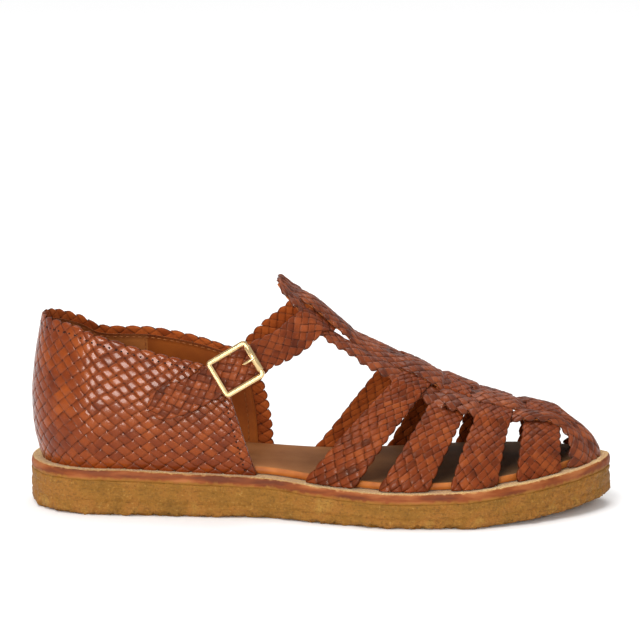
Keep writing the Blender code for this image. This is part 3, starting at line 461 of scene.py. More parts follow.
# edges: how far the scallops stand out at both edges in cells, and how deep they turn in millimetres.
# ends: how far they stand out at both ends. base: how high the laces lie over the sheet.
def plait(name, sheet, cells, relief, edges, material, seed, node, base, ends=(0, 0), lift=None, skip=None):
    rng = np.random.default_rng(seed)
    columns, rows = 2 * cells[0], 2 * cells[1]
    centres = [(i, j) for j in range(rows + 1) for i in range(columns + 1) if (i + j) % 2]
    if skip:
        centres = [c for c in centres if not skip(c[0] / columns, c[1] / rows)]
    s, t = np.meshgrid(weave["along"], weave["side"], indexing="ij")
    profile = np.broadcast_to(weave["crown"], s.shape)
    dive = 1 - weave["dive"] * np.abs(s) ** weave["divePower"]
    # Darker towards a lace's sides and ends, where it dives under its neighbours: painted shade of the
    # creases, with some wear of the cut edge.
    rim = np.clip(1 - (profile + 0.2) * 1.05, 0, 1) + np.clip((np.abs(s) - 0.72) / 0.5, 0, 1) * 0.75
    points, tones, faces = [], [], []
    for number, (i, j) in enumerate(centres):
        way = 1 if i % 2 else -1
        skew = rng.uniform(-weave["skew"], weave["skew"], 3)
        tilt = rng.uniform(-weave["tilt"], weave["tilt"], 2)
        across = t * rng.uniform(*weave["narrow"]) + skew[0] * s
        u = (i + (s + across) / 2 + skew[2]) / columns
        v = (j + way * (s - across) / 2) / rows
        rise = relief * (profile * dive + skew[1] * weave["step"] + tilt[0] * s + tilt[1] * t)
        for edge in (0, 1):
            if edges[edge]:
                u, rise = turnOver(u, rise, columns, edge, edges[edge], edges[2])
        for edge in (0, 1):
            v, rise = turnOver(v, rise, rows, edge, ends[edge], edges[2] if ends[edge] else 0)
        height = rise + base + (lift(u, v) if lift else 0)
        points.append(onSheet(sheet, u, v, height).reshape(-1, 3))
        tones.append(np.full(s.size, rng.uniform(0, 1)))
        faces += gridFaces(*s.shape, number * s.size)
    marks = {"laceTone": np.concatenate(tones), "laceRim": np.tile(np.clip(rim, 0, 1).ravel(), len(centres))}
    return makePiece(name, np.concatenate(points), faces, [material], node, True, marks)


# Thin closed sheet under the laces: the lining inside, and outside a dark face that is painted shade for the
# weave's gaps.
# heights: its two faces over the sheet. patch: a run of its inner face that has the third material.
def backing(name, sheet, across, along, heights, materials, lift=None, margin=(0.0, 0.0), shorter=0.0,
            patch=(0.0, 0.0)):
    us, vs = np.linspace(margin[0], 1 - margin[1], across), np.linspace(0, 1 - shorter, along)
    u, v = np.meshgrid(us, vs, indexing="ij")
    raised = lift(u, v) if lift else np.zeros_like(u)
    points = np.concatenate([onSheet(sheet, u, v, raised + height).reshape(-1, 3) for height in heights])
    count = across * along
    faces = gridFaces(across, along)
    choose = [2 if patch[0] < vs[face[0] % along] < patch[1] else 0 for face in faces] + [1] * len(faces)
    faces += [(count + a, count + d, count + c, count + b) for a, b, c, d in faces]
    ring = [(a, 0) for a in range(across)] + [(across - 1, b) for b in range(1, along)]
    ring += [(a, along - 1) for a in range(across - 2, -1, -1)] + [(0, b) for b in range(along - 2, 0, -1)]
    for (a, b), (c, d) in zip(ring, ring[1:] + ring[:1]):
        k, m = a * along + b, c * along + d
        faces.append((k, count + k, count + m, m))
        choose.append(0)
    return makePiece(name, points, faces, materials, None, True, None, choose)


print("sole")
soleLook = {          # thickness of the midsole's band and of the insole, and how the crumbs go
    "band": 4.7, "insole": 3.6,
    "crumbLift": 0.6, "quietFoot": 1.5, "footReach": 2.5,
    "chips": (2.4, 1.1), "chipDepth": 1.3, "chipReach": 1.2, "capRings": (0.10, 0.24, 0.5, 0.8, 1.0),
}


def hashNoise(points, size, seed):    # smooth value noise of the given size in millimetres, from -1 to 1
    table = np.random.default_rng(seed).uniform(-1, 1, (32, 32, 32))
    spot = np.asarray(points) / size
    cell = np.floor(spot).astype(int)
    part = spot - cell
    part = part * part * (3 - 2 * part)
    total = 0
    for corner in np.ndindex(2, 2, 2):
        weight = np.prod(np.where(corner, part, 1 - part), axis=1)
        total = total + weight * table[tuple(((cell + corner) % 32).T)]
    return total


# One layer between two heights. Its side goes up in rings, then both faces close towards the centre line.
def soleLayer(name, layer, low, high, materials, node):
    side, kinds, seed = layer["side"], layer["kinds"], layer["seed"]
    loop = insetLoop(outlineLoop(*layer["steps"]), layer["inset"])
    count = len(loop)
    rings = []
    for inset, share, lift in side:
        ring = insetLoop(loop, inset)
        x = np.clip(ring[:, 0], 0, shoe["length"])
        rings.append(np.column_stack([ring, [low(a) + (high(a) - low(a)) * share + lift for a in x]]))
    still = np.concatenate(rings)
    sides = still.copy()
    above = still[:, 2] - np.tile(still[:count, 2], len(side))
    crumbly = 1 + (layer["foot"] - 1) * np.exp(-above / soleLook["footReach"])
    for size, depth in layer["rough"]:
        sides[:, 0] += hashNoise(still, size, seed) * depth * crumbly
        sides[:, 1] += hashNoise(still, size, seed + 1) * depth * crumbly
        waves = hashNoise(still, size, seed + 2) * depth * soleLook["crumbLift"] * crumbly
        sides[count:-count, 2] += np.where(above < soleLook["quietFoot"], np.abs(waves), waves)[count:-count]
    if layer["foot"] > 1:             # chips out of the lower edge
        wide, small = soleLook["chips"]
        ragged = np.clip(hashNoise(still, wide, seed + 3) + 0.5 * hashNoise(still, small, seed + 4), 0, 1.2)
        sides[count:, 2] += (ragged * soleLook["chipDepth"] * np.exp(-above / soleLook["chipReach"]))[count:]

    points, faces, choose = [sides], [], []

    def bridge(first, second, kind, under=False):
        for k in range(count):
            a, b, c, d = first + k, first + (k + 1) % count, second + (k + 1) % count, second + k
            faces.append((a, d, c, b) if under else (a, b, c, d))
            choose.append(kind)

    for row, kind in enumerate(kinds):
        bridge(row * count, (row + 1) * count, kind)
    start = len(sides)
    for edge, face, lift, kind in ((0, low, side[0][2], 0), (start - count, high, side[-1][2], kinds[-1])):
        rim, before = sides[edge:edge + count, :2], edge
        middle = np.array([(x, centreLine(x)) for x in np.clip(rim[:, 0], 26, shoe["length"] - 30)])
        for share in soleLook["capRings"]:
            flat = rim + (middle - rim) * share
            level = np.array([face(a) for a in np.clip(flat[:, 0], 0, shoe["length"])])
            points.append(np.column_stack([flat, level + lift]))
            bridge(before, start, kind, face is low)
            before, start = start, start + count
    shares = [row[1] for row in side] + [0.0] * len(soleLook["capRings"]) + [1.0] * len(soleLook["capRings"])
    return makePiece(name, np.concatenate(points), faces, materials, node, True,
                     {"ringShare": np.repeat(shares, count)}, choose)


def ground(x):
    return sole("ground", x)


def crepeTop(x):
    return sole("top", x) - soleLook["band"]


def ledgeTop(x):
    return sole("top", x)


def insoleTop(x):
    return sole("top", x) + soleLook["insole"]


# side: inset, share of the height and lift of each ring. kinds: which material each step between rings has.
# rough: sizes and depths of the crumbs. foot: how much rougher the foot is. steps: round heel, middle, toe.
crepeLayer = {
    "inset": 0.0, "rough": ((7.0, 0.26), (2.6, 0.28), (1.3, 0.24)), "foot": 3.2, "seed": 11,
    "side": ((2.2, 0.0, 0.0), (1.1, 0.0, 0.2), (0.5, 0.03, 0.4), (0.25, 0.10, 0.2), (0.15, 0.20, 0),
             (0.1, 0.30, 0), (0.45, 0.37, 0), (0.5, 0.40, 0), (0.05, 0.44, 0), (0.0, 0.52, 0),
             (0.05, 0.62, 0), (0.15, 0.69, 0), (0.4, 0.73, 0), (0.35, 0.77, 0), (0.12, 0.82, 0),
             (0.1, 0.90, 0), (0.15, 0.98, 0), (1.0, 1.0, 0)),
    "kinds": (0,) * 17, "steps": (80, 380, 170),
}
soleLayer("crepeSole", crepeLayer, ground, crepeTop, [crepe], "outsole")
bandLayer = {
    "inset": 0.0, "rough": ((9.0, 0.15), (2.4, 0.16), (1.2, 0.10)), "foot": 1.0, "seed": 21,
    "side": ((1.2, 0.0, -0.3), (0.3, 0.0, -0.1), (0.1, 0.2, 0), (0.0, 0.5, 0), (0.12, 0.75, 0),
             (0.35, 0.9, 0), (0.7, 0.985, 0), (1.0, 1.0, 0.05), (2.2, 1.0, 0.12), (3.2, 1.0, 0.08),
             (4.4, 1.0, -0.1), (6.2, 1.0, -0.15)),
    "kinds": (0,) * 6 + (1,) * 5, "steps": (50, 220, 110),
}
soleLayer("midsoleBand", bandLayer, crepeTop, ledgeTop, [bandLeather, rawEdge], "midsole")
padLayer = {
    "inset": 8.1, "rough": ((12.0, 0.1),), "foot": 1.0, "seed": 31,
    "side": ((0.6, 0.0, 0.1), (0.0, 0.12, 0), (-0.1, 0.5, 0), (0.1, 0.8, 0), (0.6, 0.95, 0), (1.5, 1.0, 0),
             (2.6, 1.0, 0.02)),
    "kinds": (0, 0, 0, 0, 1, 1), "steps": (30, 140, 80),
}
soleLayer("footbedPad", padLayer, ledgeTop, insoleTop, [rimLeather, footbed], "insole")


print("upper")
upper = {
    "ledge": 4.7, "wall": 1.2, "relief": 0.6, "feetOver": 0.3,
    # ridge of the last over the foot, and how round its two slopes are
    "x": (100, 112, 120, 130, 140, 150, 165, 180, 200, 220, 236),
    "ridgeY": (4.0, 4.0, 4.2, 4.6, 5.4, 6.2, 7.0, 7.6, 8.0, 8.0, 7.6),
    "ridgeZ": (118.0, 107.6, 99.4, 91.2, 82.8, 76.4, 68.6, 61.6, 52.2, 46.0, 42.4),
    "outerPower": (1.50, 1.50, 1.50, 1.50, 1.50, 1.50, 1.52, 1.54, 1.58, 1.64, 1.68),
    "innerPower": (1.9, 1.9, 1.9, 1.9, 1.9, 1.95, 2.0, 2.0, 2.05, 2.1, 2.1),
    "domeX": 236.0, "domePower": 1.62,
}
lastLoop = insetLoop(fineLoop, upper["ledge"] + upper["wall"] + upper["relief"])
tip = int(np.argmax(lastLoop[:, 0]))
lastOuter, lastInner = lastLoop[:tip + 1], lastLoop[tip:][::-1]


def ridge(name, x):
    return curve(upper["x"], upper[name], min(x, upper["domeX"]))


def lastBase(x, side):
    part = lastOuter if side < 0 else lastInner
    return float(np.interp(x, part[:, 0], part[:, 1]))


domeRim = lastLoop[lastLoop[:, 0] >= upper["domeX"] - 1.0] - (upper["domeX"], upper["ridgeY"][-1])
domeAngle = np.arctan2(domeRim[:, 1], domeRim[:, 0])
domeOrder = np.argsort(domeAngle)
domeReach = np.hypot(domeRim[:, 0], domeRim[:, 1])[domeOrder]
domeAngle = domeAngle[domeOrder]


def lastHeight(x, y):                 # the last over a point of the plan
    middle, high, domeX = ridge("ridgeY", x), ridge("ridgeZ", x), upper["domeX"]
    side = -1 if y < middle else 1
    power = ridge("outerPower" if side < 0 else "innerPower", x)
    if x <= domeX:
        share = (y - middle) / (lastBase(x, side) - middle)
        foot = sole("top", x) + upper["feetOver"]
    else:
        angle = atan2(y - middle, x - domeX)
        share = hypot(x - domeX, y - middle) / float(np.interp(angle, domeAngle, domeReach))
        power = upper["domePower"] + (power - upper["domePower"]) * (abs(angle) / (pi / 2)) ** 2
        foot = sole("top", domeX + (x - domeX) / max(share, 0.05)) + upper["feetOver"]
    share = min(max(share, 0.0), 1.0)
    return foot + (high - foot) * (1 - share**power) ** (1 / power)


bar = {               # the T-bar's centre, half width in plan and how far it keeps the last's crown
    "x": (114.6, 117.5, 120.0, 122.0, 124.5, 129.0, 136.0, 144.0, 149.5, 155.0, 162.0, 168.0,
          174.5, 187.5, 191.5, 204.0, 209.0, 222.5, 228.5, 241.0, 247.0, 251.5, 256.5, 262.0),
    "y": (1.0, 1.0, 1.0, 1.0, 1.0, 0.96, 0.9, 0.7, 0.5, 0.2, 0.0, 0.0,
          0.0, 0.0, 0.0, 0.2, 0.4, 1.3, 1.9, 3.7, 4.3, 4.3, 3.8, 3.0),
    "half": (6.5, 9.8, 11.8, 12.4, 12.8, 12.9, 12.8, 12.6, 12.8, 13.0, 13.2, 13.4,
             14.2, 16.0, 16.2, 16.2, 16.0, 13.8, 12.2, 9.4, 8.8, 10.6, 15.0, 19.0),
    "crown": (0.10, 0.14, 0.18, 0.20, 0.23, 0.29, 0.38, 0.42, 0.48, 0.64, 0.74, 0.84,
              1, 1, 1, 1, 1, 1, 1, 1, 1, 1, 1, 1),
    # lifts of the middle strand and of the two outer ones, which pass over and under the straps
    "centre": (0.3, 0.6, 1.0, 1.6, 2.5, 3.4, 3.5, 3.1, 1.5, 1.2, 1.2, 1.5,
               2.7, 2.6, 0.4, 0.6, 2.3, 2.5, 0.3, 0.1, 0.5, 0, 0, 0),
    "edge": (0.2, 0.6, 1.2, 1.6, 0.8, 0.0, 0.0, 0.3, 0.9, 1.1, 1.2, 0.9,
             0.1, 0.1, 2.1, 2.1, 0.2, 0.1, 2.1, 2.1, 0.5, 0, 0, 0),
    "fanX": 214.0, "split": 0.42, "overlap": 0.02, "strandCrown": 0.8, "relief": 0.62, "base": 1.15,
    "turn": 1.0, "foot": 0.05, "backing": (0.05, 0.95),
}


def barAt(name, x):
    return curve(bar["x"], bar[name], x)


def barHeight(x, y):
    crown, height = barAt("crown", x), lastHeight(x, y)
    if crown < 1:
        top = lastHeight(x, barAt("y", x))
        height = top + (height - top) * crown
    return height


barEnd = float(np.interp(barAt("y", shoe["length"]), lastOuter[:, 1], lastOuter[:, 0]))
barXs = bar["x"][0] + (barEnd - bar["x"][0]) * np.sin(np.linspace(0, pi / 2, 240))
barZs = np.array([lastHeight(x, barAt("y", x)) for x in barXs])
barRun = runOf(np.column_stack([barXs, barZs]))
barRun /= barRun[-1]


def barPoint(along, across):
    centreX = float(np.interp(along, barRun, barXs))
    y = barAt("y", centreX) + across * barAt("half", centreX)
    x = centreX
    if centreX > bar["fanX"]:
        ahead = lastOuter if y < lastLoop[tip, 1] else lastInner
        front = ahead[ahead[:, 0] > upper["domeX"]]
        order = np.argsort(front[:, 1])
        reach = float(np.interp(y, front[order, 1], front[order, 0]))
        x = bar["fanX"] + (reach - bar["fanX"]) * (centreX - bar["fanX"]) / (barXs[-1] - bar["fanX"])
    return (x, y, barHeight(x, y))


wallLines = {}


def wallPoint(x, way):                # way goes from -1 at the outer foot to 1 at the inner one
    side = -1 if way < 0 else 1
    key = (round(x, 2), side)
    if key not in wallLines:
        top, foot = barAt("y", x), lastBase(x, side)
        ys = top + (foot - top) * np.sin(np.linspace(0, pi / 2, 37))
        line = np.array([(y, lastHeight(key[0], y)) for y in ys])
        run = runOf(line)
        wallLines[key] = (line, run / run[-1])
    line, run = wallLines[key]
    return (x, float(np.interp(abs(way), run, line[:, 0])), float(np.interp(abs(way), run, line[:, 1])))


def fromInside(p):                    # points out of the foot's space
    return (0.35 * (p[0] - 150), p[1] - 4, p[2] - 25)


def crowned(u):                       # 1 along the middle of a strap, 0 at its edges
    return 1 - (2 * np.clip(u, 0, 1) - 1) ** 2


def standUpright(sheet, near):        # at its feet a strap's faces stand upright on the ledge
    sheet["normal"][:, :, 2] *= np.clip(near, 0, 1)
    sheet["normal"] /= np.linalg.norm(sheet["normal"], axis=2)[:, :, None]


# rows: feet on the sole from and to, place on the ridge from and to, sweep, over the outer strands, cells.
# knots: shares of the T-bar's half width where a strap rises over a strand or dips under it.
crossStraps = {
    "rows": ((130.0, 152.0, 173.8, 186.0, 1.35, True, 27), (163.5, 185.0, 188.2, 202.5, 1.75, False, 23),
             (196.0, 215.8, 209.0, 222.5, 1.30, True, 20), (225.4, 244.2, 229.0, 243.5, 1.35, False, 17)),
    "across": 4, "knots": (0.0, 0.30, 0.52, 1.0, 1.35, 9.0), "overOuter": (0, 0, 1, 1, 0, 0),
    "overMiddle": (1, 1, 0, 0, 0, 0), "lift": 2.1, "crown": 0.35, "scallop": 0.34, "feet": 0.06,
    "relief": 0.55, "turn": 0.8, "base": 1.15, "innerRelief": 0.4, "innerTurn": 0.6, "innerBase": -0.55,
    "core": (0.45, 0.95),
}


def strapPiece(number, row):
    baseFrom, baseTo, topFrom, topTo, sweep, overOuter, along = row

    def surface(u, v):
        way = 2 * v - 1
        lean = abs(way) ** sweep
        start, end = topFrom + (baseFrom - topFrom) * lean, topTo + (baseTo - topTo) * lean
        return wallPoint(start + (end - start) * u, way)

    sheet = sampled(surface, 9, 91, fromInside)
    vs = np.linspace(0, 1, 91)
    standUpright(sheet, np.minimum(vs, 1 - vs) / crossStraps["feet"])
    lifts = crossStraps["overOuter" if overOuter else "overMiddle"]
    raised = np.array([[curve(crossStraps["knots"], lifts, abs(y - barAt("y", x)) / barAt("half", x))
                        for x, y, z in line] for line in sheet["point"]]) * crossStraps["lift"]

    def lift(u, v):
        return tableAt(raised, u, v) + crossStraps["crown"] * crowned(u)

    name, cells, scallop = "crossStrap%d" % number, (crossStraps["across"], along), crossStraps["scallop"]
    plait(name + "Laces", sheet, cells, crossStraps["relief"], (scallop, scallop, crossStraps["turn"]),
          cognacLace, 100 + number, "vamp_cage", crossStraps["base"], lift=lift)
    plait(name + "InnerLaces", otherFace(sheet), cells, crossStraps["innerRelief"],
          (scallop, scallop, crossStraps["innerTurn"]), fleshSideLitLace, 110 + number, "vamp_cage",
          crossStraps["innerBase"], lift=lambda u, v: -lift(u, v))
    backing(name + "Core", sheet, 7, 3 * along + 1, crossStraps["core"], [gapShadeLeather, gapShadeLeather], lift)


for number, row in enumerate(crossStraps["rows"], 1):
    strapPiece(number, row)


def strandPiece(name, low, high, column, cells, edges, seed):
    def surface(u, v):
        return barPoint(v, low + (high - low) * u)

    sheet = sampled(surface, 7, 121, fromInside)
    standUpright(sheet, (1 - np.linspace(0, 1, 121)) / bar["foot"])
    steps = np.linspace(0, 1, 241)
    raised = np.array([barAt(column, float(np.interp(v, barRun, barXs))) for v in steps])

    def lift(u, v):
        return np.interp(np.clip(v, 0, 1), steps, raised) + bar["strandCrown"] * crowned(u)

    plait(name + "Laces", sheet, cells, bar["relief"], edges + (bar["turn"],), plumLace, seed, "vamp_cage",
          bar["base"], (0.5, 0), lift)
    backing(name + "Backing", sheet, 5, 3 * cells[1] + 1, bar["backing"], [liningLeather, gapShadeLeather], lift,
            (0.02, 0.02))


split, overlap = bar["split"], bar["overlap"]
strandPiece("centreStrand", -split, split, "centre", (3, 30), (0.3, 0.3), 201)
strandPiece("outerStrand", -1, -split + overlap, "edge", (2, 30), (0.8, 0.3), 202)
strandPiece("innerStrand", split - overlap, 1, "edge", (2, 30), (0.3, 0.8), 203)


print("heel counter")
counter = {
    "height": (0.0, 7.0, 16.0, 28.0, 40.0, 52.0, 67.0),        # above the ledge
    "back": (4.7, 2.6, 0.9, 0.3, 1.1, 2.8, 5.6),               # inset from the sole's outline
    "side": (4.7, 3.9, 3.4, 4.0, 6.0, 8.6, 11.0),
    "topX": (0, 17, 27, 38, 51, 64, 78, 92, 107),
    "outerTop": (87.0, 85.4, 82.4, 79.6, 75.8, 72.6, 69.6, 66.0, 62.0),
    "innerTop": (87.0, 80.6, 76.4, 75.7, 75.9, 74.4, 71.6, 67.4, 64.0),
    "wall": 1.6, "relief": 0.6, "outerFront": 107.0, "innerFront": 110.0,
    "outerLean": 15.5, "innerLean": 9.0, "outerSweep": 1.0, "innerSweep": 1.9,
    "cells": (10, 34), "edges": (0, 0.36, 0.9), "innerEdges": (0, 0.36, 0.6), "ends": (0, 0.4),
    "core": (0.7, 1.4), "lining": (-0.1, 0.6), "heelSuede": (0.22, 0.775),
}
outerLine, innerLine = fineLoop[:tip + 1], fineLoop[tip:]
counterLine = np.concatenate([outerLine[outerLine[:, 0] <= counter["outerFront"]][::-1],
                              innerLine[innerLine[:, 0] <= counter["innerFront"]][::-1]])
counterRun = runOf(counterLine)
counterRun /= counterRun[-1]
counterTurn = np.gradient(counterLine, axis=0)
counterTurn /= np.linalg.norm(counterTurn, axis=1)[:, None]
counterTurn = np.stack([counterTurn[:, 1], -counterTurn[:, 0]], 1)


def counterPoint(u, v):
    spot = np.array([np.interp(v, counterRun, counterLine[:, k]) for k in (0, 1)])
    turned = np.array([np.interp(v, counterRun, counterTurn[:, k]) for k in (0, 1)])
    turned /= np.linalg.norm(turned)
    side = "outer" if v < 0.5 else "inner"
    foot = sole("top", float(spot[0])) + upper["feetOver"]
    lean = counter[side + "Lean"] * (max(0.0, abs(2 * v - 1) - 0.5) / 0.5) ** 2
    height = (curve(counter["topX"], counter[side + "Top"], float(spot[0]) - lean) - foot) * u
    backness = abs(turned[0]) ** 1.5
    inset = (curve(counter["height"], counter["back"], height) * backness
             + curve(counter["height"], counter["side"], height) * (1 - backness)
             + counter["wall"] + counter["relief"])
    x, y = spot + turned * inset
    return (x - lean * u ** counter[side + "Sweep"], y, foot + height)


def counterOut(p):
    return (min(p[0] - 45, 0), p[1], 0)


counterSheet = sampled(counterPoint, 17, 161, counterOut)
plait("counterLaces", counterSheet, counter["cells"], 0.38, counter["edges"], glossyLace, 301,
      "heel_counter", 1.6, counter["ends"])
plait("counterRimLaces", otherFace(counterSheet), counter["cells"], 0.35, counter["innerEdges"], fleshSideLitLace,
      302, "heel_counter", -0.75, counter["ends"], skip=lambda u, v: u < 0.9 and v < 0.97)
backing("counterCore", counterSheet, 17, 161, counter["core"], [gapShadeLeather, gapShadeLeather])
backing("counterLining", counterSheet, 17, 161, counter["lining"], [liningLeather, liningLeather, heelSuede],
        margin=(0.0, 0.05), shorter=0.022, patch=counter["heelSuede"])


print("ankle strap")
ankle = {
    "cells": (3, 31), "relief": 0.5, "edges": (0.4, 0.4, 0.6), "base": 0.25, "overBar": 2.7,
    # free run from the tip: centre, slope of its run, half width, how far the lower edge stands out
    "free": ((58.8, -32.3, 50.2, 16, 3.0, 0.12), (61.0, -32.5, 51.0, 17, 5.4, 0.12),
             (66.2, -32.6, 52.8, 18, 6.7, 0.13), (74.0, -32.7, 55.6, 21, 6.8, 0.14),
             (84.0, -33.1, 60.6, 27, 6.6, 0.15), (98.6, -34.3, 69.4, 31, 6.4, 0.17),
             (108.0, -31.6, 74.6, 31, 6.5, 0.20)),
    # upper and lower edge up to the T-bar, on it (in plan), and down to the inner quarter
    "rise": ((115.6, -22.5, 84.2, 121.8, -27.0, 73.0), (121.6, -16.0, 88.6, 130.0, -19.6, 77.4)),
    "onBar": ((125.2, -11.8, 134.4, -12.8), (128.0, -6.0, 138.2, -7.0), (129.6, 1.0, 140.6, 0.5),
              (128.6, 7.5, 138.8, 8.5), (125.4, 13.6, 135.6, 15.0)),
    "fall": ((120.8, 18.2, 91.0, 131.0, 20.8, 79.2), (114.9, 20.0, 86.2, 124.2, 24.2, 73.6),
             (105.2, 24.4, 77.6, 115.0, 27.0, 64.6), (96.6, 27.6, 68.4, 107.0, 28.4, 55.6),
             (90.4, 28.6, 61.4, 100.8, 28.8, 48.8)),
}
ankleEdges = []
for x, y, z, slope, half, flare in ankle["free"]:
    down = np.array((sin(radians(slope)), -flare, -cos(radians(slope)))) * half
    ankleEdges.append(((x, y, z) - down, (x, y, z) + down))
ankleEdges += [(row[:3], row[3:]) for row in ankle["rise"]]
for row in ankle["onBar"]:
    pair = []
    for x, y in (row[:2], row[2:]):
        spot = np.array((x, y, barHeight(x, y)))
        up = np.cross((1, 0, barHeight(x + 1, y) - spot[2]), (0, 1, barHeight(x, y + 1) - spot[2]))
        pair.append(spot + up / np.linalg.norm(up) * ankle["overBar"])
    ankleEdges.append(pair)
ankleEdges += [(row[:3], row[3:]) for row in ankle["fall"]]
ankleTable = np.array([np.concatenate(pair) for pair in ankleEdges])
ankleRun = runOf((ankleTable[:, :3] + ankleTable[:, 3:]) / 2)
ankleRun /= ankleRun[-1]


def anklePoint(u, v):
    i = int(min(max(np.searchsorted(ankleRun, v) - 1, 0), len(ankleRun) - 2))
    width = ankleRun[i + 1] - ankleRun[i]

    def slope(k):
        a, b = max(k - 1, 0), min(k + 1, len(ankleRun) - 1)
        return (ankleTable[b] - ankleTable[a]) / (ankleRun[b] - ankleRun[a])

    row = hermite((v - ankleRun[i]) / width, width, ankleTable[i], ankleTable[i + 1], slope(i), slope(i + 1))
    return tuple(row[:3] * (1 - u) + row[3:] * u)


def ankleOut(p):
    return (0.35 * (p[0] - 100), p[1] - 4, max(p[2] - 60, 0))


ankleSheet = sampled(anklePoint, 7, 161, ankleOut)
for name, sheet, material, seed in (("ankleLaces", ankleSheet, dullLace, 401),
                                    ("ankleInnerLaces", otherFace(ankleSheet), fleshSideLitLace, 402)):
    plait(name, sheet, ankle["cells"], ankle["relief"], ankle["edges"], material, seed, "ankle_strap",
          ankle["base"], (0.5, 0))
backing("ankleCore", ankleSheet, 5, 109, (-0.3, 0.3), [gapShadeLeather, gapShadeLeather], margin=(0.02, 0.02))


print("buckle")
buckle = {
    "at": (98.6, -34.3, 69.6), "slope": 32.0, "tilt": 9.0, "turn": 0.05,
    "long": 19.4, "wide": 16.8, "corner": 1.3, "wire": 1.25, "facets": 8, "centre": 0.7, "prong": 0.65,
    "roller": 1.6, "rollerLength": 12.4, "clear": 0.25,
    "rise": 2.75, "drop": -3.35,      # frame and centre bar over the strap's middle
    "chape": 0.8, "chapeWide": 9.6, "chapeTail": 10.5, "chapeSlot": 2.2,
}
slope = radians(buckle["slope"])
buckleAlong = Vector((cos(slope), -buckle["turn"], sin(slope))).normalized()
buckleOut = Vector((0, -cos(radians(buckle["tilt"])), sin(radians(buckle["tilt"]))))
buckleOut = (buckleOut - buckleAlong * buckleOut.dot(buckleAlong)).normalized()
buckleUp = -buckleAlong.cross(buckleOut).normalized()


def atBuckle(along, up, out):
    return np.array(Vector(buckle["at"]) + buckleAlong * along + buckleUp * up + buckleOut * out)


def wire(name, path, radii, node, closed=False, sides=20, flat=1.0, smooth=True):
    spots = [Vector(atBuckle(*p)) for p in path]
    count = len(spots)
    guide = buckleOut.copy()
    points = []
    for k in range(count):
        before = spots[k - 1] if k or closed else spots[k]
        after = spots[(k + 1) % count] if k < count - 1 or closed else spots[k]
        tangent = (after - before).normalized()
        side = tangent.cross(guide).normalized()
        guide = side.cross(tangent).normalized()
        for s in range(sides):
            angle = 2 * pi * (s + 0.5) / sides
            points.append(spots[k] + side * cos(angle) * radii[k] + guide * sin(angle) * radii[k] * flat)
    faces = tubeFaces(count, sides, closed)
    return makePiece(name, [tuple(p) for p in points], faces, [gold], node, smooth)


long, wide, corner = buckle["long"] / 2, buckle["wide"] / 2, buckle["corner"]
rise, drop, clear = buckle["rise"], buckle["drop"], buckle["clear"]
framePath = []
for sx, sy, start in ((1, 1, 0), (-1, 1, 90), (-1, -1, 180), (1, -1, 270)):
    for angle in radians(start) + np.linspace(0, pi / 2, 13):
        x, y = sx * (long - corner) + corner * cos(angle), sy * (wide - corner) + corner * sin(angle)
        framePath.append((x, y, rise))
wire("buckleFrame", framePath, [buckle["wire"]] * len(framePath), "buckle_frame", True, buckle["facets"], 0.9,
     False)
leg = wide - 0.25                     # the centre bar steps down from the frame to the strap's inner side
barPath = [(0, wide, rise), (0, leg, drop + 0.5), (0, leg - 0.7, drop)]
barPath += [(0, -y, z) for x, y, z in reversed(barPath)]
wire("buckleCentreBar", barPath, [buckle["centre"]] * 6, "buckle_frame")
half, out = buckle["rollerLength"] / 2, buckle["roller"]
rollerPath = [(long, y, rise) for y in (-half, -half + 0.02, -half + clear, half - clear, half - 0.02, half)]
wire("buckleRoller", rollerPath, [out - 0.5, out - 0.2, out, out, out - 0.2, out - 0.5], "buckle_roller",
     sides=32)
# The prong hooks round the centre bar, climbs through the strap and lies on the roller.
hook, over = buckle["centre"] + clear + buckle["prong"], rise + out + buckle["prong"]
prongPath = [(-hook * cos(radians(a)), 0, drop + hook * sin(radians(a))) for a in range(-150, 91, 20)]
prongPath += [(1.6, 0, drop + hook + 0.1), (2.3, 0, -1.2), (2.75, 0, -0.4), (2.95, 0, 0.7), (3.2, 0, 1.9),
              (3.7, 0, 3.0), (4.5, 0, 3.95), (5.4, 0, over + 0.05), (6.4, 0, over + 0.35),
              (8.0, 0, over + 0.35), (long, 0, over + 0.3), (long + 1.0, 0, over + 0.15),
              (long + 1.6, 0, over + 0.05)]
prongRadii = [buckle["prong"]] * (len(prongPath) - 1) + [buckle["prong"] * 0.5]
wire("buckleProng", prongPath, prongRadii, "buckle_prong")

# The chape is a strip round the centre bar, in two sides with the prong's slot between them.
chapeReach, ply = buckle["centre"] + clear + buckle["chape"] / 2, buckle["chape"] / 2 + 0.15
chapeLine = [(a, ply) for a in np.linspace(-buckle["chapeTail"], -3.0, 6)]
chapeLine += [(chapeReach * cos(radians(a)), chapeReach * sin(radians(a))) for a in range(120, -121, -20)]
chapeLine += [(a, -ply) for a in np.linspace(-3.0, -buckle["chapeTail"], 6)]
chapeEdge, slotEdge, thick = buckle["chapeWide"] / 2, buckle["chapeSlot"] / 2, buckle["chape"] / 2
for number, (low, high) in enumerate(((slotEdge, chapeEdge), (-chapeEdge, -slotEdge)), 1):
    points = []
    for k, (a, c) in enumerate(chapeLine):
        before, after = chapeLine[max(k - 1, 0)], chapeLine[min(k + 1, len(chapeLine) - 1)]
        tangent = Vector((after[0] - before[0], after[1] - before[1])).normalized()
        for up, side in ((low, thick), (high, thick), (high, -thick), (low, -thick)):
            points.append(atBuckle(a - tangent.y * side, up, c + tangent.x * side + drop))
    makePiece("chapeSide%d" % number, points, tubeFaces(len(chapeLine), 4), [cognacLace], "buckle_chape",
              False)


print("stitches")
stitch = {            # material, length, width and height of one stitch or awl hole
    "awlHole": (holeShade, 1.0, 0.8, 0.12), "rimStitch": (threadWax, 2.0, 0.5, -0.25),
    "seamStitch": (threadWax, 2.2, 0.45, -0.2), "outside": 2.1, "inside": -0.15,
}
stitchAlong = (-1, -0.7, 0, 0.7, 1)
stitchRound = ((-1, 0), (-0.55, 0.8), (0, 1), (0.55, 0.8), (1, 0))


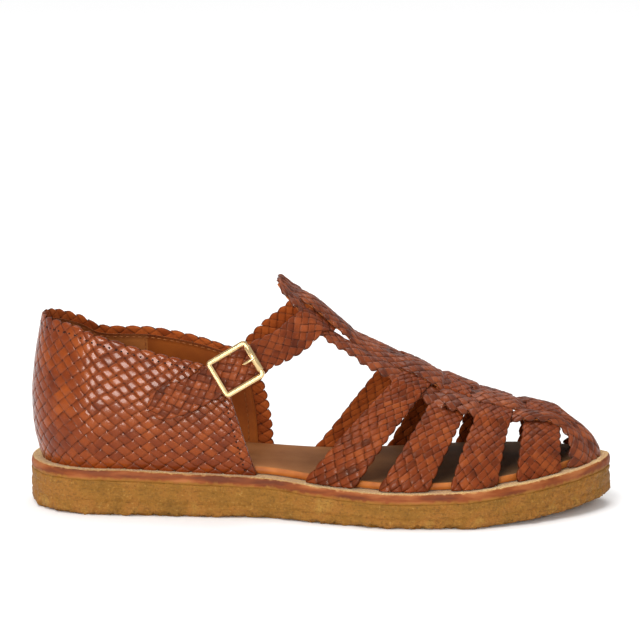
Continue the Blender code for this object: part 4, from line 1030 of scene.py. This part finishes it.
def stitchRow(name, places, kind):    # places: point, direction of the stitch and way out of the leather
    material, length, wide, high = stitch[kind]
    points, faces = [], []
    for spot, ahead, out in places:
        ahead, out = ahead / np.linalg.norm(ahead), out / np.linalg.norm(out)
        side = np.cross(ahead, out)
        faces += gridFaces(len(stitchAlong), len(stitchRound), len(points))
        for along in stitchAlong:
            share = (1 - abs(along) ** 3) ** 0.5 if abs(along) < 1 else 0.12
            for a, b in stitchRound:
                points.append(spot + ahead * along * length / 2 + side * a * wide / 2 * share
                              + out * (b * share * high - 0.05))
    return makePiece(name, points, faces, [material], None)


def onCounter(us, vs, face):
    line, lifted = (onSheet(counterSheet, us, vs, np.full(len(vs), stitch[face] + lift)) for lift in (0, 1))
    return line, lifted - line


def levelRow(u, start, end, spacing, face):         # stitches at even spacing round the counter
    vs = np.linspace(start, end, 400)
    line, out = onCounter(np.full(400, u), vs, face)
    run = runOf(line)
    ks = [min(int(np.searchsorted(run, d)), 398) for d in np.arange(spacing / 2, run[-1], spacing)]
    return [(line[k], line[k + 1] - line[k], out[k]) for k in ks]


def uprightRow(v, start, end, count, face):
    line, out = onCounter(np.linspace(start, end, count), np.full(count, v), face)
    return list(zip(line, np.gradient(line, axis=0), out))


suedeFrom, suedeTo = counter["heelSuede"]
stitchRow("toplineAwlHoles", levelRow(0.945, 0.02, 0.98, 2.9, "outside"), "awlHole")
stitchRow("toplineInnerStitch", levelRow(0.925, 0.02, 0.965, 3.0, "inside"), "rimStitch")
stitchRow("innerSeamStitch", uprightRow(suedeTo - 0.003, 0.03, 0.91, 19, "inside"), "seamStitch")
stitchRow("outerSeamStitch", uprightRow(suedeFrom + 0.003, 0.03, 0.91, 19, "inside"), "seamStitch")
stitchRow("outerFrontAwlHoles", uprightRow(0.018, 0.05, 0.93, 17, "outside"), "awlHole")
stitchRow("innerFrontStitch", uprightRow(0.962, 0.05, 0.92, 17, "inside"), "rimStitch")

print("floor and light")
stageLook = {
    "floor": "#FAFAFA", "floorReach": 6, "sky": 0.60,
    "sun": 1.5, "sunSpread": 34.0, "sunFrom": (-0.42, -0.62, 1.0),
    # place, aim and size of each softbox in metres, and its power
    "glintSoftbox": ((-0.24, -1.31, 0.27), (-0.06, 0, 0.055), (0.30, 0.34), 9.0),
    "fillSoftbox": ((1.3, -1.2, 0.9), (0.02, 0, 0.04), (1.0, 0.8), 1.4),
    "topSoftbox": ((0.0, 0.5, 1.6), (0, 0, 0.05), (1.2, 0.9), 10.5),
}
reach = stageLook["floorReach"]
floorMesh = bpy.data.meshes.new("paleFloor")
floorMesh.from_pydata([(x * reach, y * reach, -0.0002) for x, y in ((-1, -1), (1, -1), (1, 1), (-1, 1))], [],
                      [(0, 1, 2, 3)])
floor = bpy.data.objects.new("paleFloor", floorMesh)
bpy.context.scene.collection.objects.link(floor)
floorPaint = newMaterial("mattPaintedFloor", {"Roughness": 0.85, "Base Color": stageLook["floor"]})[0]
floorMesh.materials.append(floorPaint)


def addLamp(name, kind, power, back):     # back points from what it lights to the lamp
    lamp = bpy.data.lights.new(name, kind)
    lamp.energy = power
    light = bpy.data.objects.new(name, lamp)
    light.rotation_euler = Vector(back).to_track_quat("Z", "Y").to_euler()
    bpy.context.scene.collection.objects.link(light)
    return lamp, light


for name in ("glintSoftbox", "fillSoftbox", "topSoftbox"):
    place, aim, size, power = stageLook[name]
    lamp, light = addLamp(name, "AREA", power, Vector(place) - Vector(aim))
    lamp.shape = "RECTANGLE"
    lamp.size, lamp.size_y = size
    light.location = place
lamp, light = addLamp("wideKey", "SUN", stageLook["sun"], stageLook["sunFrom"])
lamp.angle = radians(stageLook["sunSpread"])
world = bpy.data.worlds.new("studioWhite")
world.use_nodes = True
world.node_tree.nodes["Background"].inputs[0].default_value = (1, 1, 1, 1)
world.node_tree.nodes["Background"].inputs[1].default_value = stageLook["sky"]
bpy.context.scene.world = world
bpy.context.scene.view_settings.view_transform = "Standard"
